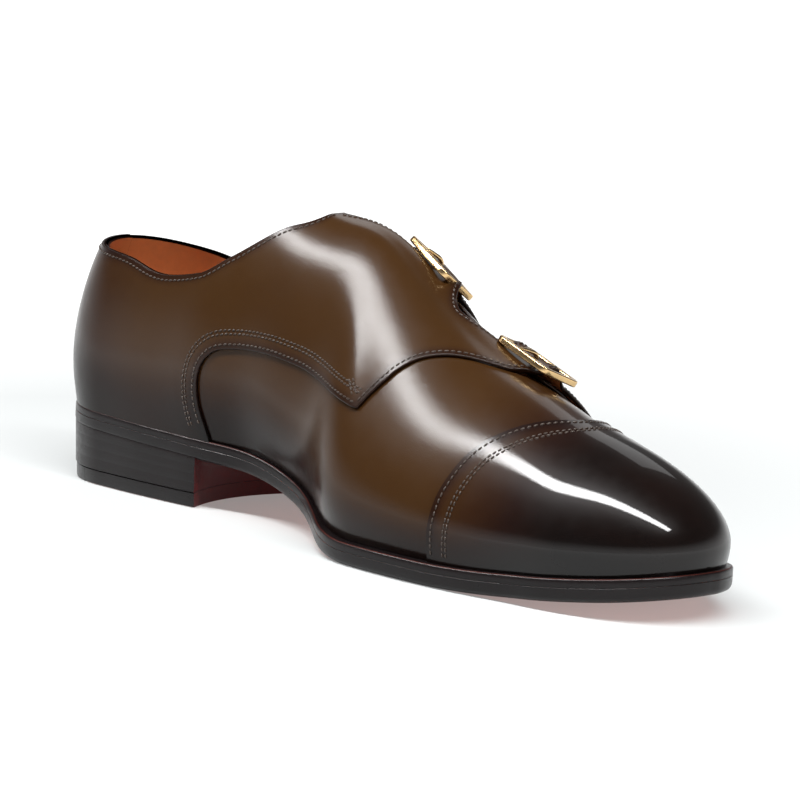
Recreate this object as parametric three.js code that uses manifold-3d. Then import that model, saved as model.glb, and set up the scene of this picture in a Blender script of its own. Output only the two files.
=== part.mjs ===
// A left double monk strap shoe, in millimetres: +Y points to the toe, +X to the medial side, +Z up.
// The origin is on the floor, under the middle of the heel.

import * as THREE from "three";
import { mergeVertices } from "three/addons/utils/BufferGeometryUtils.js";
import Module from "manifold-3d";

const wasm = await Module();
wasm.setup();

// Driving sizes

const soleLength = 300;
const ballWidth = 106;
const waistWidth = 56;
const heelWidth = 67;
const heelRise = 21; // underside of the sole at the back of the heel, over the floor
const breastRise = 17.5; // underside of the sole at the front of the heel, over the floor
const toeSpring = 8.5;
const outsoleThickness = 4.6;
const weltThickness = 2.6;
const weltWidth = 14;
const weltMargin = 3.6; // how far the welt shows round the forepart
const seatMargin = 1.6; // how far the sole shows round the heel
const insoleThickness = 3;
const topPieceThickness = 5.5;
const heelTaper = 1.2; // how far the heel draws in from the sole down to the floor
const breastHollow = 8.5; // how deep the front of the heel curves in
const instepHeight = 105; // top of the throat over the floor
const toeHeight = 49.5; // top of the toe box over the floor
const coneHeight = 112; // the last's top over the heel, above the opening
const backHeight = 90; // topline at the back of the heel
const ankleHeight = 80; // topline at its lowest, under the ankle bone
const upperWall = 1.8; // leather and lining of the upper
const overlayThickness = 1.2; // leather of the toe cap, quarters and straps
const tongueThickness = 1.6;
const clearance = 0.3; // between pieces that meet
const tongueGap = 0.7; // between the tongue and the upper over it

// Places round the shoe. A place is a number from 0 at the tip of the toe to 3 at the back of the heel, the same
// on both sides: a fan of rays round the toe's centre, rays straight across the shoe, a fan round the heel's.

const toeCentre = 0.85; // as a share of the sole length, from the back
const heelCentre = 0.113;
const toe = (degrees) => 1 - degrees / 90;
const along = (share) => 1 + (toeCentre - share) / (toeCentre - heelCentre);
const heel = (degrees) => 2 + degrees / 90;

const medial = 1;
const lateral = -1;

// How far round the shoe's side a place lies. Lines are drawn by it, so they run on smoothly from the rays across
// the shoe into the fans.
const toeSpan = (Math.PI / 2) * 0.36 * ballWidth;
const straightSpan = (toeCentre - heelCentre) * soleLength;
const heelSpan = (Math.PI / 2) * 0.5 * heelWidth;
function spanOf(place) {
  if (place < 1) return place * toeSpan;
  if (place < 2) return toeSpan + (place - 1) * straightSpan;
  return toeSpan + straightSpan + (place - 2) * heelSpan;
}

// The middle line, where all rays start and the last has its ridge
const spineRows = [
  { at: along(toeCentre), x: 0.0613 * ballWidth },
  { at: along(0.743), x: 0.0434 * ballWidth },
  { at: along(0.653), x: 0.0283 * ballWidth },
  { at: along(0.573), x: 0.0189 * ballWidth },
  { at: along(0.49), x: 0.0075 * ballWidth },
  { at: along(0.403), x: -0.0094 * ballWidth },
  { at: along(0.3), x: -0.02 * ballWidth },
  { at: along(heelCentre), x: -0.0236 * ballWidth },
];

// The sole's edge, as its distance from the middle line
const edgeRows = [
  { at: toe(90), medial: 0.15 * soleLength, lateral: 0.15 * soleLength },
  { at: toe(76), medial: 0.145 * soleLength, lateral: 0.1475 * soleLength },
  { at: toe(61), medial: 0.139 * soleLength, lateral: 0.136 * soleLength },
  { at: toe(42), medial: 0.1285 * soleLength, lateral: 0.1235 * soleLength },
  { at: toe(20), medial: 0.335 * ballWidth, lateral: 0.348 * ballWidth },
  { at: toe(0), medial: 0.338 * ballWidth, lateral: 0.387 * ballWidth },
  { at: along(0.793), medial: 0.377 * ballWidth, lateral: 0.453 * ballWidth },
  { at: along(0.743), medial: 0.409 * ballWidth, lateral: 0.508 * ballWidth },
  { at: along(0.7), medial: 0.427 * ballWidth, lateral: 0.538 * ballWidth },
  { at: along(0.653), medial: 0.438 * ballWidth, lateral: 0.555 * ballWidth },
  { at: along(0.613), medial: 0.44 * ballWidth, lateral: 0.556 * ballWidth },
  { at: along(0.573), medial: 0.433 * ballWidth, lateral: 0.536 * ballWidth },
  { at: along(0.533), medial: 0.71 * waistWidth, lateral: 0.905 * waistWidth },
  { at: along(0.49), medial: 0.545 * waistWidth, lateral: 0.754 * waistWidth },
  { at: along(0.447), medial: 0.455 * waistWidth, lateral: 0.66 * waistWidth },
  { at: along(0.403), medial: 0.434 * waistWidth, lateral: 0.607 * waistWidth },
  { at: along(0.363), medial: 0.43 * waistWidth, lateral: 0.564 * waistWidth },
  { at: along(0.327), medial: 0.46 * waistWidth, lateral: 0.545 * waistWidth },
  { at: along(0.29), medial: 0.465 * heelWidth, lateral: 0.488 * heelWidth },
  { at: along(0.25), medial: 0.475 * heelWidth, lateral: 0.492 * heelWidth },
  { at: along(0.17), medial: 0.5 * heelWidth, lateral: 0.498 * heelWidth },
  { at: heel(0), medial: 0.5 * heelWidth, lateral: 0.495 * heelWidth },
  { at: heel(50), medial: 0.506 * heelWidth, lateral: 0.502 * heelWidth },
  { at: heel(90), medial: heelCentre * soleLength, lateral: heelCentre * soleLength },
];

// The sole's underside over the floor, by its share of the length from the back
const undersideRows = [
  { share: 0, z: heelRise },
  { share: 0.2, z: 0.3 * heelRise + 0.7 * breastRise },
  { share: 0.28, z: breastRise },
  { share: 0.34, z: 0.91 * breastRise },
  { share: 0.39, z: 0.77 * breastRise },
  { share: 0.44, z: 0.55 * breastRise },
  { share: 0.5, z: 0.25 * breastRise },
  { share: 0.55, z: 0.08 * breastRise },
  { share: 0.6, z: 0 },
  { share: 0.72, z: 0 },
  { share: 0.77, z: 0.05 * toeSpring },
  { share: 0.84, z: 0.24 * toeSpring },
  { share: 0.92, z: 0.58 * toeSpring },
  { share: 1, z: toeSpring },
];

// The last's ridge over the floor
const ridgeRows = [
  { at: along(toeCentre), z: toeHeight },
  { at: along(0.8), z: 0.79 * toeHeight + 0.134 * instepHeight },
  { at: along(0.733), z: 0.5 * toeHeight + 0.34 * instepHeight },
  { at: along(0.667), z: 0.635 * instepHeight },
  { at: along(0.6), z: 0.74 * instepHeight },
  { at: along(0.533), z: 0.876 * instepHeight },
  { at: along(0.467), z: 0.984 * instepHeight },
  { at: along(0.41), z: instepHeight },
  { at: along(0.35), z: 0.4 * instepHeight + 0.6 * coneHeight },
  { at: along(0.3), z: coneHeight },
  { at: along(heelCentre), z: coneHeight },
];

// The sections of the last, a row for each place. inset: how far the foot of the upper stands in from the sole's
// edge. out and rise: how far its widest point stands out over its foot, and up. side: how upright the wall is
// over its widest point. crown: how flat the top is.
const medialRows = [
  { at: toe(90), inset: weltMargin, out: 0.8, rise: 6, side: 0.4, crown: 0.56 },
  { at: toe(45), inset: weltMargin, out: 1, rise: 7, side: 0.36, crown: 0.57 },
  { at: toe(0), inset: weltMargin, out: 1, rise: 8, side: 0.28, crown: 0.55 },
  { at: along(0.74), inset: weltMargin, out: 1.5, rise: 10, side: 0.3, crown: 0.5 },
  { at: along(0.65), inset: weltMargin, out: 2.5, rise: 12, side: 0.33, crown: 0.45 },
  { at: along(0.58), inset: weltMargin, out: 3, rise: 14, side: 0.35, crown: 0.4 },
  { at: along(0.5), inset: 0.7 * weltMargin, out: 4, rise: 18, side: 0.35, crown: 0.4 },
  { at: along(0.4), inset: seatMargin, out: 7, rise: 22, side: 0.4, crown: 0.45 },
  { at: along(0.3), inset: seatMargin, out: 4, rise: 22, side: 0.4, crown: 0.5 },
  { at: along(0.2), inset: seatMargin, out: 1.5, rise: 19, side: 0.4, crown: 0.55 },
  { at: heel(0), inset: seatMargin, out: 1.5, rise: 18, side: 0.4, crown: 0.55 },
  { at: heel(90), inset: seatMargin, out: 3, rise: 18, side: 0.4, crown: 0.6 },
];
const lateralRows = [
  { at: toe(90), inset: weltMargin, out: 0.8, rise: 6, side: 0.4, crown: 0.56 },
  { at: toe(45), inset: weltMargin, out: 1, rise: 7, side: 0.36, crown: 0.57 },
  { at: toe(0), inset: weltMargin, out: 1, rise: 8, side: 0.26, crown: 0.52 },
  { at: along(0.74), inset: weltMargin, out: 1.5, rise: 9, side: 0.26, crown: 0.45 },
  { at: along(0.65), inset: weltMargin, out: 2, rise: 10, side: 0.27, crown: 0.4 },
  { at: along(0.58), inset: weltMargin, out: 2.5, rise: 11, side: 0.28, crown: 0.38 },
  { at: along(0.5), inset: 0.8 * weltMargin, out: 3, rise: 14, side: 0.32, crown: 0.4 },
  { at: along(0.4), inset: seatMargin, out: 3, rise: 18, side: 0.36, crown: 0.45 },
  { at: along(0.3), inset: seatMargin, out: 2, rise: 20, side: 0.4, crown: 0.5 },
  { at: along(0.2), inset: seatMargin, out: 1.2, rise: 19, side: 0.4, crown: 0.55 },
  { at: heel(0), inset: seatMargin, out: 1.5, rise: 18, side: 0.4, crown: 0.55 },
  { at: heel(90), inset: seatMargin, out: 3, rise: 18, side: 0.4, crown: 0.6 },
];

// The topline, seen from each side
const toplineRows = [
  { share: 0, medial: backHeight, lateral: backHeight },
  { share: 0.06, medial: 0.96 * backHeight, lateral: 0.95 * backHeight },
  { share: 0.13, medial: 0.4 * backHeight + 0.6 * ankleHeight, lateral: 0.3 * backHeight + 0.68 * ankleHeight },
  { share: 0.2, medial: ankleHeight, lateral: 0.96 * ankleHeight },
  { share: 0.26, medial: 0.9 * ankleHeight + 0.1 * instepHeight, lateral: 0.92 * ankleHeight + 0.05 * instepHeight },
  { share: 0.3, medial: 0.62 * ankleHeight + 0.38 * instepHeight, lateral: 0.7 * ankleHeight + 0.28 * instepHeight },
  { share: 0.355, medial: 0.17 * ankleHeight + 0.83 * instepHeight, lateral: 0.22 * ankleHeight + 0.77 * instepHeight },
  { share: 0.39, medial: instepHeight, lateral: 0.995 * instepHeight },
  { share: 0.405, medial: 1.07 * coneHeight, lateral: 1.07 * coneHeight },
  { share: 0.44, medial: 1.36 * coneHeight, lateral: 1.36 * coneHeight },
];

// A smooth line through one column of a table, which never swings past its rows
function lineThrough(rows, key, column) {
  const spread = key === "at" ? spanOf : (share) => share;
  const places = rows.map((row) => spread(row[key]));
  const values = rows.map((row) => row[column]);
  const slopes = places.slice(1).map((next, i) => (values[i + 1] - values[i]) / (next - places[i]));
  const tangents = values.map((value, i) => {
    if (i === 0) return slopes[0];
    if (i === slopes.length) return slopes[i - 1];
    const product = slopes[i - 1] * slopes[i];
    return product > 0 ? (2 * product) / (slopes[i - 1] + slopes[i]) : 0;
  });
  return (at) => {
    const x = THREE.MathUtils.clamp(spread(at), places[0], places[places.length - 1]);
    let i = 0;
    while (i < slopes.length - 1 && x > places[i + 1]) i += 1;
    const width = places[i + 1] - places[i];
    const s = (x - places[i]) / width;
    const rise = (3 - 2 * s) * s * s;
    const bend = s * (1 - s) * ((1 - s) * tangents[i] - s * tangents[i + 1]) * width;
    return values[i] + (values[i + 1] - values[i]) * rise + bend;
  };
}

const spine = lineThrough(spineRows, "at", "x");
const ridge = lineThrough(ridgeRows, "at", "z");
const underside = lineThrough(undersideRows, "share", "z");
const edge = {
  [medial]: lineThrough(edgeRows, "at", "medial"),
  [lateral]: lineThrough(edgeRows, "at", "lateral"),
};
const topline = {
  [medial]: lineThrough(toplineRows, "share", "medial"),
  [lateral]: lineThrough(toplineRows, "share", "lateral"),
};
const columnsOf = (rows) => ({
  inset: lineThrough(rows, "at", "inset"),
  out: lineThrough(rows, "at", "out"),
  rise: lineThrough(rows, "at", "rise"),
  side: lineThrough(rows, "at", "side"),
  crown: lineThrough(rows, "at", "crown"),
});
const section = { [medial]: columnsOf(medialRows), [lateral]: columnsOf(lateralRows) };

// The point of the ray at a place and side, at a reach from the middle line and a height
function onRay(side, place, reach, z) {
  const turn = place < 1 ? (1 - place) * 90 : place > 2 ? (2 - place) * 90 : 0;
  const angle = THREE.MathUtils.degToRad(turn);
  const straight = THREE.MathUtils.clamp(place, 1, 2);
  const y = soleLength * (toeCentre - (straight - 1) * (toeCentre - heelCentre));
  return new THREE.Vector3(spine(straight) + side * reach * Math.cos(angle), y + reach * Math.sin(angle), z);
}

const soleUnder = (y) => underside(y / soleLength);
const seatLift = outsoleThickness + weltThickness + 2 * clearance; // the upper's foot over the sole's underside
const footLevels = 0.2; // the share of a section that lies under its widest point

// How steeply the ridge falls where it meets the toe
const toeFall = (ridge(1.01) - ridge(1)) / (0.01 * straightSpan);

// A point on the last. A level is 0 at the upper's foot and 1 on the ridge.
function onLast(side, place, level) {
  const rows = section[side];
  const foot = edge[side](place) - rows.inset(place);
  const seat = soleUnder(onRay(side, place, foot, 0).y) + seatLift;
  const widest = foot + rows.out(place);
  const low = seat + rows.rise(place);
  if (level < footLevels) {
    const t = level / footLevels;
    const reach = foot + rows.out(place) * Math.sin((t * Math.PI) / 2);
    return onRay(side, place, reach, seat + rows.rise(place) * t);
  }
  const t = (level - footLevels) / (1 - footLevels);
  const top = ridge(place);
  const wall = (1 - t) ** 3 + 3 * t * (1 - t) ** 2;
  const shoulder = 3 * t ** 2 * (1 - t);
  const crown = widest * rows.crown(place) * shoulder;
  const reach = widest * wall + crown;
  const climb = 3 * t * (1 - t) ** 2 * rows.side(place) + shoulder + t ** 3;
  const forward = place < 1 ? Math.sin(((1 - place) * Math.PI) / 2) : 0;
  const fall = toeFall * forward * ((1 - forward) * reach * climb + forward * crown);
  const z = low + (top - low) * climb - fall;
  return onRay(side, place, reach, z);
}

// The way out of the last at a point of it
function outward(side, place, level) {
  const step = 0.004;
  const straight = THREE.MathUtils.clamp(place, 1, 2);
  if (level > 1 - step) {
    const before = onLast(side, Math.max(straight - step, 1), 1);
    const after = onLast(side, Math.min(straight + step, 2), 1);
    const slope = (before.z - after.z) / (before.y - after.y);
    return new THREE.Vector3(0, -slope, 1).normalize();
  }
  const ahead = onLast(side, Math.max(place - step, 0), level);
  const behind = onLast(side, Math.min(place + step, 3), level);
  const lower = onLast(side, place, level - step);
  const upper = onLast(side, place, level + step);
  const way = ahead.sub(behind).cross(upper.sub(lower)).multiplyScalar(side);
  if (place === 0 || place === 3) way.setX(0); // both sides share these sections
  return way.normalize();
}

// A point at a height over the last's surface
function overLast(side, place, level, height) {
  return onLast(side, place, level).addScaledVector(outward(side, place, level), height);
}

// Mesh helpers

const steps = (from, to, count) => Array.from({ length: count + 1 }, (_, i) => from + ((to - from) * i) / count);

const places = [...steps(0, 1, 6), ...steps(1, 2, 21).slice(1), ...steps(2, 3, 5).slice(1)];
const levels = [0, 0.1, 0.2, 0.32, 0.45, 0.58, 0.7, 0.82, 0.92, 1];

function closedMesh(triangles) {
  const geometry = new THREE.BufferGeometry();
  const numbers = triangles.flatMap((corner) => [corner.x, corner.y, corner.z]);
  geometry.setAttribute("position", new THREE.Float32BufferAttribute(numbers, 3));
  const merged = mergeVertices(geometry, 1e-4);
  const kept = [];
  const index = merged.index.array;
  for (let i = 0; i < index.length; i += 3) {
    const [a, b, c] = [index[i], index[i + 1], index[i + 2]];
    if (a !== b && b !== c && c !== a) kept.push(a, b, c);
  }
  merged.setIndex(kept);
  return merged;
}

function solidOf(geometry) {
  const bare = geometry.clone();
  bare.deleteAttribute("normal");
  bare.deleteAttribute("uv");
  const merged = mergeVertices(bare, 1e-4);
  const mesh = new wasm.Mesh({
    numProp: 3,
    vertProperties: new Float32Array(merged.attributes.position.array),
    triVerts: new Uint32Array(merged.index.array),
  });
  return new wasm.Manifold(mesh);
}

function geometryOf(solid) {
  const mesh = solid.getMesh();
  const geometry = new THREE.BufferGeometry();
  geometry.setAttribute("position", new THREE.Float32BufferAttribute(mesh.vertProperties, mesh.numProp));
  geometry.setIndex(Array.from(mesh.triVerts));
  return geometry;
}

// Two triangles between four corners, given in turn as seen from outside
const quad = (a, b, c, d) => [a, b, c, a, c, d];

// A solid from a ring of sections: each starts on the middle line below and ends on it above. It starts at the
// tip of the toe, or has a flat front further back.
function bodyOfRays(sectionAt, first = 0) {
  const stops = [first, ...places.filter((place) => place > first)];
  const triangles = [];
  for (const side of [medial, lateral]) {
    for (let i = 0; i < stops.length - 1; i += 1) {
      const front = sectionAt(side, stops[i]);
      const back = sectionAt(side, stops[i + 1]);
      for (let j = 0; j < front.length - 1; j += 1) {
        const corners = [front[j], front[j + 1], back[j + 1], back[j]];
        triangles.push(...(side === medial ? quad(...corners) : quad(...corners.reverse())));
      }
    }
  }
  if (first > 0) {
    const right = sectionAt(lateral, first);
    const left = sectionAt(medial, first);
    for (let j = 0; j < left.length - 1; j += 1) triangles.push(...quad(left[j], right[j], right[j + 1], left[j + 1]));
  }
  return solidOf(closedMesh(triangles));
}

// A flat layer of the sole: rows of how far in from the sole's edge, and how high over its underside
function layer(rows) {
  return bodyOfRays((side, place) => {
    const point = (inset, height) => {
      const flat = onRay(side, place, Math.max(edge[side](place) - inset, 0), 0);
      return flat.setZ(soleUnder(flat.y) + height);
    };
    const middle = (height) => {
      const flat = onRay(side, place, 0, 0);
      return flat.setZ(soleUnder(flat.y) + height);
    };
    const outline = rows.map((row) => point(row.inset, row.height));
    return [middle(rows[0].height), ...outline, middle(rows[rows.length - 1].height)];
  });
}

// The last swelled by a height over its surface, with its foot let down by a drop
function swelledLast(heightAt, drop) {
  return bodyOfRays((side, place) => {
    const foot = edge[side](place) - section[side].inset(place);
    const floor = (reach) => soleUnder(onRay(side, place, reach, 0).y) + seatLift - drop;
    const skin = levels.slice(1).map((level) => overLast(side, place, level, heightAt(side, place, level)));
    const low = onRay(side, place, foot + heightAt(side, place, 0), floor(foot));
    return [onRay(side, place, 0, floor(0)), low, ...skin];
  });
}

const evenly = (height) => () => height;

const openDrop = 8; // how far the hollow runs on below the foot, which leaves a shell open underneath

// A wall over the last, from one height to another
function shell(lowAt, thickness) {
  const outer = swelledLast((side, place, level) => lowAt(side, place, level) + thickness, 0);
  return outer.subtract(swelledLast(lowAt, openDrop));
}

// A block over part of the last, between two heights. A girth runs from 1 at the foot of the medial side over
// 0 on the ridge to -1 at the foot of the lateral side, and each row says at which places the block starts
// and ends there.
function patch(rows, low, high, placeSteps) {
  const cornersAt = (height) =>
    rows.map((row) =>
      steps(row.rear, row.front, placeSteps).map((place) =>
        overLast(row.girth < 0 ? lateral : medial, place, 1 - Math.abs(row.girth), height),
      ),
    );
  const inner = cornersAt(low);
  const outer = cornersAt(high);
  const triangles = [];
  for (let i = 0; i < rows.length - 1; i += 1) {
    for (let j = 0; j < placeSteps; j += 1) {
      triangles.push(...quad(outer[i][j], outer[i][j + 1], outer[i + 1][j + 1], outer[i + 1][j]));
      triangles.push(...quad(inner[i + 1][j], inner[i + 1][j + 1], inner[i][j + 1], inner[i][j]));
    }
    const end = placeSteps;
    triangles.push(...quad(inner[i][0], outer[i][0], outer[i + 1][0], inner[i + 1][0]));
    triangles.push(...quad(inner[i + 1][end], outer[i + 1][end], outer[i][end], inner[i][end]));
  }
  const last = rows.length - 1;
  for (let j = 0; j < placeSteps; j += 1) {
    triangles.push(...quad(inner[0][j], inner[0][j + 1], outer[0][j + 1], outer[0][j]));
    triangles.push(...quad(outer[last][j], outer[last][j + 1], inner[last][j + 1], inner[last][j]));
  }
  return solidOf(closedMesh(triangles));
}

const cutDepth = 4; // how far a cutting block reaches below and over the skin that it cuts
const cutOf = (rows, placeSteps) => patch(rows, -cutDepth, 2 * cutDepth, placeSteps);

// A block through a row of four-cornered sections
function blockThrough(corners) {
  const triangles = [];
  for (let i = 0; i < corners.length - 1; i += 1) {
    for (let j = 0; j < 4; j += 1) {
      const k = (j + 1) % 4;
      triangles.push(...quad(corners[i][k], corners[i][j], corners[i + 1][j], corners[i + 1][k]));
    }
  }
  triangles.push(...quad(...corners[0]), ...quad(...corners[corners.length - 1].slice().reverse()));
  return solidOf(closedMesh(triangles));
}

// An upright block between two curved ends: each row gives x, the y of both ends, and the heights
function uprightBlock(rows) {
  const corners = rows.map((row) => [
    new THREE.Vector3(row.x, row.rear, row.low),
    new THREE.Vector3(row.x, row.front, row.low),
    new THREE.Vector3(row.x, row.front, row.high),
    new THREE.Vector3(row.x, row.rear, row.high),
  ]);
  return blockThrough(corners);
}

const collarFront = 0.43; // share of the length that the space over the topline reaches
const toplineSteps = 48;

// The space over the topline, which opens the collar
function overTopline() {
  const high = coneHeight + backHeight;
  const half = ballWidth;
  const sections = steps(-0.1, collarFront, toplineSteps).map((share) => {
    const y = share * soleLength;
    const from = Math.max(share, 0);
    return [
      new THREE.Vector3(-half, y, topline[lateral](from)),
      new THREE.Vector3(half, y, topline[medial](from)),
      new THREE.Vector3(half, y, high),
      new THREE.Vector3(-half, y, high),
    ];
  });
  return blockThrough(sections);
}

// The seams, traced as rows

const heelSeam = 3 - clearance / (Math.PI * heelCentre * soleLength);
const underFoot = 1.06; // a girth just below the foot of the upper

// The rear edge of the toe cap, seen from above
const capRows = [
  { x: 0.7 * ballWidth, rear: 0.722 * soleLength },
  { x: 0.43 * ballWidth, rear: 0.723 * soleLength },
  { x: 0.38 * ballWidth, rear: 0.729 * soleLength },
  { x: 0.32 * ballWidth, rear: 0.742 * soleLength },
  { x: 0.247 * ballWidth, rear: 0.762 * soleLength },
  { x: 0.166 * ballWidth, rear: 0.784 * soleLength },
  { x: 0.1 * ballWidth, rear: 0.8 * soleLength },
  { x: 0.04 * ballWidth, rear: 0.808 * soleLength },
  { x: -0.03 * ballWidth, rear: 0.808 * soleLength },
  { x: -0.1 * ballWidth, rear: 0.798 * soleLength },
  { x: -0.2 * ballWidth, rear: 0.773 * soleLength },
  { x: -0.3 * ballWidth, rear: 0.746 * soleLength },
  { x: -0.38 * ballWidth, rear: 0.73 * soleLength },
  { x: -0.45 * ballWidth, rear: 0.722 * soleLength },
  { x: -0.7 * ballWidth, rear: 0.72 * soleLength },
];

// The medial quarter, from its foot to the ridge and just over it
const medialQuarterRows = [
  { girth: underFoot, rear: heelSeam, front: along(0.302) },
  { girth: 0.96, rear: heelSeam, front: along(0.297) },
  { girth: 0.89, rear: heelSeam, front: along(0.291) },
  { girth: 0.82, rear: heelSeam, front: along(0.289) },
  { girth: 0.76, rear: heelSeam, front: along(0.292) },
  { girth: 0.72, rear: heelSeam, front: along(0.3) },
  { girth: 0.69, rear: heelSeam, front: along(0.315) },
  { girth: 0.665, rear: heelSeam, front: along(0.35) },
  { girth: 0.64, rear: heelSeam, front: along(0.393) },
  { girth: 0.62, rear: heelSeam, front: along(0.43) },
  { girth: 0.595, rear: heelSeam, front: along(0.467) },
  { girth: 0.565, rear: heelSeam, front: along(0.51) },
  { girth: 0.53, rear: heelSeam, front: along(0.55) },
  { girth: 0.515, rear: heelSeam, front: along(0.574) },
  { girth: 0.47, rear: heelSeam, front: along(0.585) },
  { girth: 0.38, rear: heelSeam, front: along(0.597) },
  { girth: 0.33, rear: heelSeam, front: along(0.603) },
  { girth: 0.25, rear: heelSeam, front: along(0.616) },
  { girth: 0.16, rear: heelSeam, front: along(0.637) },
  { girth: 0.09, rear: heelSeam, front: along(0.658) },
];
const ridgePartRows = [
  { girth: 0.12, rear: along(0.33), front: along(0.649) },
  { girth: 0.09, rear: along(0.33), front: along(0.658) },
  { girth: 0.04, rear: along(0.33), front: along(0.676) },
  { girth: 0, rear: along(0.34), front: along(0.688) },
  { girth: -0.05, rear: along(0.38), front: along(0.698) },
];

// The straps over the lateral side, from where they part to their rounded ends
const frontStrapRows = [
  { girth: -0.04, rear: along(0.585), front: along(0.696) },
  { girth: -0.07, rear: along(0.61), front: along(0.702) },
  { girth: -0.12, rear: along(0.635), front: along(0.708) },
  { girth: -0.2, rear: along(0.648), front: along(0.711) },
  { girth: -0.32, rear: along(0.65), front: along(0.711) },
  { girth: -0.43, rear: along(0.652), front: along(0.709) },
  { girth: -0.455, rear: along(0.658), front: along(0.703) },
  { girth: -0.465, rear: along(0.667), front: along(0.694) },
];
const rearStrapRows = [
  { girth: -0.04, rear: along(0.37), front: along(0.6) },
  { girth: -0.07, rear: along(0.42), front: along(0.577) },
  { girth: -0.12, rear: along(0.468), front: along(0.56) },
  { girth: -0.2, rear: along(0.49), front: along(0.553) },
  { girth: -0.32, rear: along(0.488), front: along(0.55) },
  { girth: -0.43, rear: along(0.484), front: along(0.545) },
  { girth: -0.455, rear: along(0.49), front: along(0.539) },
  { girth: -0.465, rear: along(0.5), front: along(0.53) },
];

// The lateral quarter, from its foot to its edge under the straps
const lateralQuarterRows = [
  { girth: -0.15, rear: heelSeam, front: along(0.7) },
  { girth: -0.22, rear: heelSeam, front: along(0.708) },
  { girth: -0.3, rear: heelSeam, front: along(0.704) },
  { girth: -0.37, rear: heelSeam, front: along(0.69) },
  { girth: -0.43, rear: heelSeam, front: along(0.66) },
  { girth: -0.48, rear: heelSeam, front: along(0.61) },
  { girth: -0.52, rear: heelSeam, front: along(0.56) },
  { girth: -0.57, rear: heelSeam, front: along(0.5) },
  { girth: -0.61, rear: heelSeam, front: along(0.44) },
  { girth: -0.64, rear: heelSeam, front: along(0.385) },
  { girth: -0.67, rear: heelSeam, front: along(0.345) },
  { girth: -0.72, rear: heelSeam, front: along(0.32) },
  { girth: -0.8, rear: heelSeam, front: along(0.308) },
  { girth: -0.9, rear: heelSeam, front: along(0.308) },
  { girth: -underFoot, rear: heelSeam, front: along(0.318) },
];

// The throat, cut in the upper under the straps, and the tongue that closes it from inside
const throatRows = [
  { girth: 0.05, rear: along(0.33), front: along(0.555) },
  { girth: 0.02, rear: along(0.33), front: along(0.57) },
  { girth: -0.04, rear: along(0.33), front: along(0.575) },
  { girth: -0.09, rear: along(0.33), front: along(0.57) },
  { girth: -0.12, rear: along(0.33), front: along(0.555) },
];
const tongueRows = [
  { girth: 0.3, rear: along(0.43), front: along(0.56) },
  { girth: 0.22, rear: along(0.395), front: along(0.585) },
  { girth: 0.12, rear: along(0.378), front: along(0.6) },
  { girth: 0, rear: along(0.372), front: along(0.605) },
  { girth: -0.12, rear: along(0.378), front: along(0.6) },
  { girth: -0.22, rear: along(0.395), front: along(0.585) },
  { girth: -0.3, rear: along(0.43), front: along(0.56) },
];

// Upper

function upperPiece() {
  return shell(evenly(-upperWall), upperWall).subtract(overTopline()).subtract(cutOf(throatRows, 8));
}

function toeCapPiece() {
  const ahead = capRows.map((row) => ({ ...row, front: 1.1 * soleLength, low: -soleLength, high: soleLength }));
  return shell(evenly(clearance), overlayThickness).intersect(uprightBlock(ahead));
}

// Over the lateral side the straps rise onto the lateral quarter
const overQuarter = clearance + overlayThickness;
const strapRise = 0.08; // girth over which they rise
function strapLift(side, place, level) {
  const crossed = side === lateral && place > along(0.77) && place < along(0.3);
  const risen = crossed ? Math.min((1 - level) / strapRise, 1) : 0;
  return clearance + overQuarter * risen;
}

function medialQuarterPiece() {
  const outline = cutOf(medialQuarterRows, 16)
    .add(cutOf(ridgePartRows, 8))
    .add(cutOf(frontStrapRows, 3))
    .add(cutOf(rearStrapRows, 4));
  return shell(strapLift, overlayThickness).intersect(outline).subtract(overTopline());
}

function lateralQuarterPiece() {
  const outline = cutOf(lateralQuarterRows, 16);
  return shell(evenly(clearance), overlayThickness).intersect(outline).subtract(overTopline());
}

function tonguePiece() {
  const top = -upperWall - tongueGap;
  return patch(tongueRows, top - tongueThickness, top, 8);
}

// Sole

function outsolePiece() {
  return layer([
    { inset: 2, height: 0 },
    { inset: 0.7, height: 0.5 },
    { inset: 0, height: 1.8 },
    { inset: 0, height: outsoleThickness - 1 },
    { inset: 0.4, height: outsoleThickness },
  ]);
}

function weltPiece() {
  const low = outsoleThickness + clearance;
  const high = low + weltThickness;
  const slab = layer([
    { inset: 0.4, height: low },
    { inset: 0.2, height: low + 0.6 },
    { inset: 0.2, height: high - 0.8 },
    { inset: 0.8, height: high },
  ]);
  const hole = layer([
    { inset: weltWidth, height: low - 2 },
    { inset: weltWidth, height: high + 2 },
  ]);
  return slab.subtract(hole);
}

function insolePiece() {
  return bodyOfRays((side, place) => {
    const over = (reach, height) => {
      const flat = onRay(side, place, reach, 0);
      return flat.setZ(soleUnder(flat.y) + height);
    };
    const inWelt = edge[side](place) - weltWidth - clearance;
    const inUpper = edge[side](place) - section[side].inset(place) - upperWall - clearance;
    const low = outsoleThickness + clearance;
    const high = seatLift + insoleThickness;
    return [
      over(0, low),
      over(inWelt, low),
      over(inWelt, seatLift),
      over(inUpper, seatLift),
      over(inUpper, high),
      over(0, high),
    ];
  });
}

// Heel

const breastShare = 0.284; // where the corners of the heel's front stand
const heelStart = along(breastShare + 0.03);

function heelBody(lowAt, highAt, insetLow, insetHigh) {
  return bodyOfRays((side, place) => {
    const point = (inset, heightAt) => {
      const flat = onRay(side, place, inset === null ? 0 : edge[side](place) - inset, 0);
      return flat.setZ(heightAt(flat.y));
    };
    return [point(null, lowAt), point(insetLow, lowAt), point(insetHigh, highAt), point(null, highAt)];
  }, heelStart);
}

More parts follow.
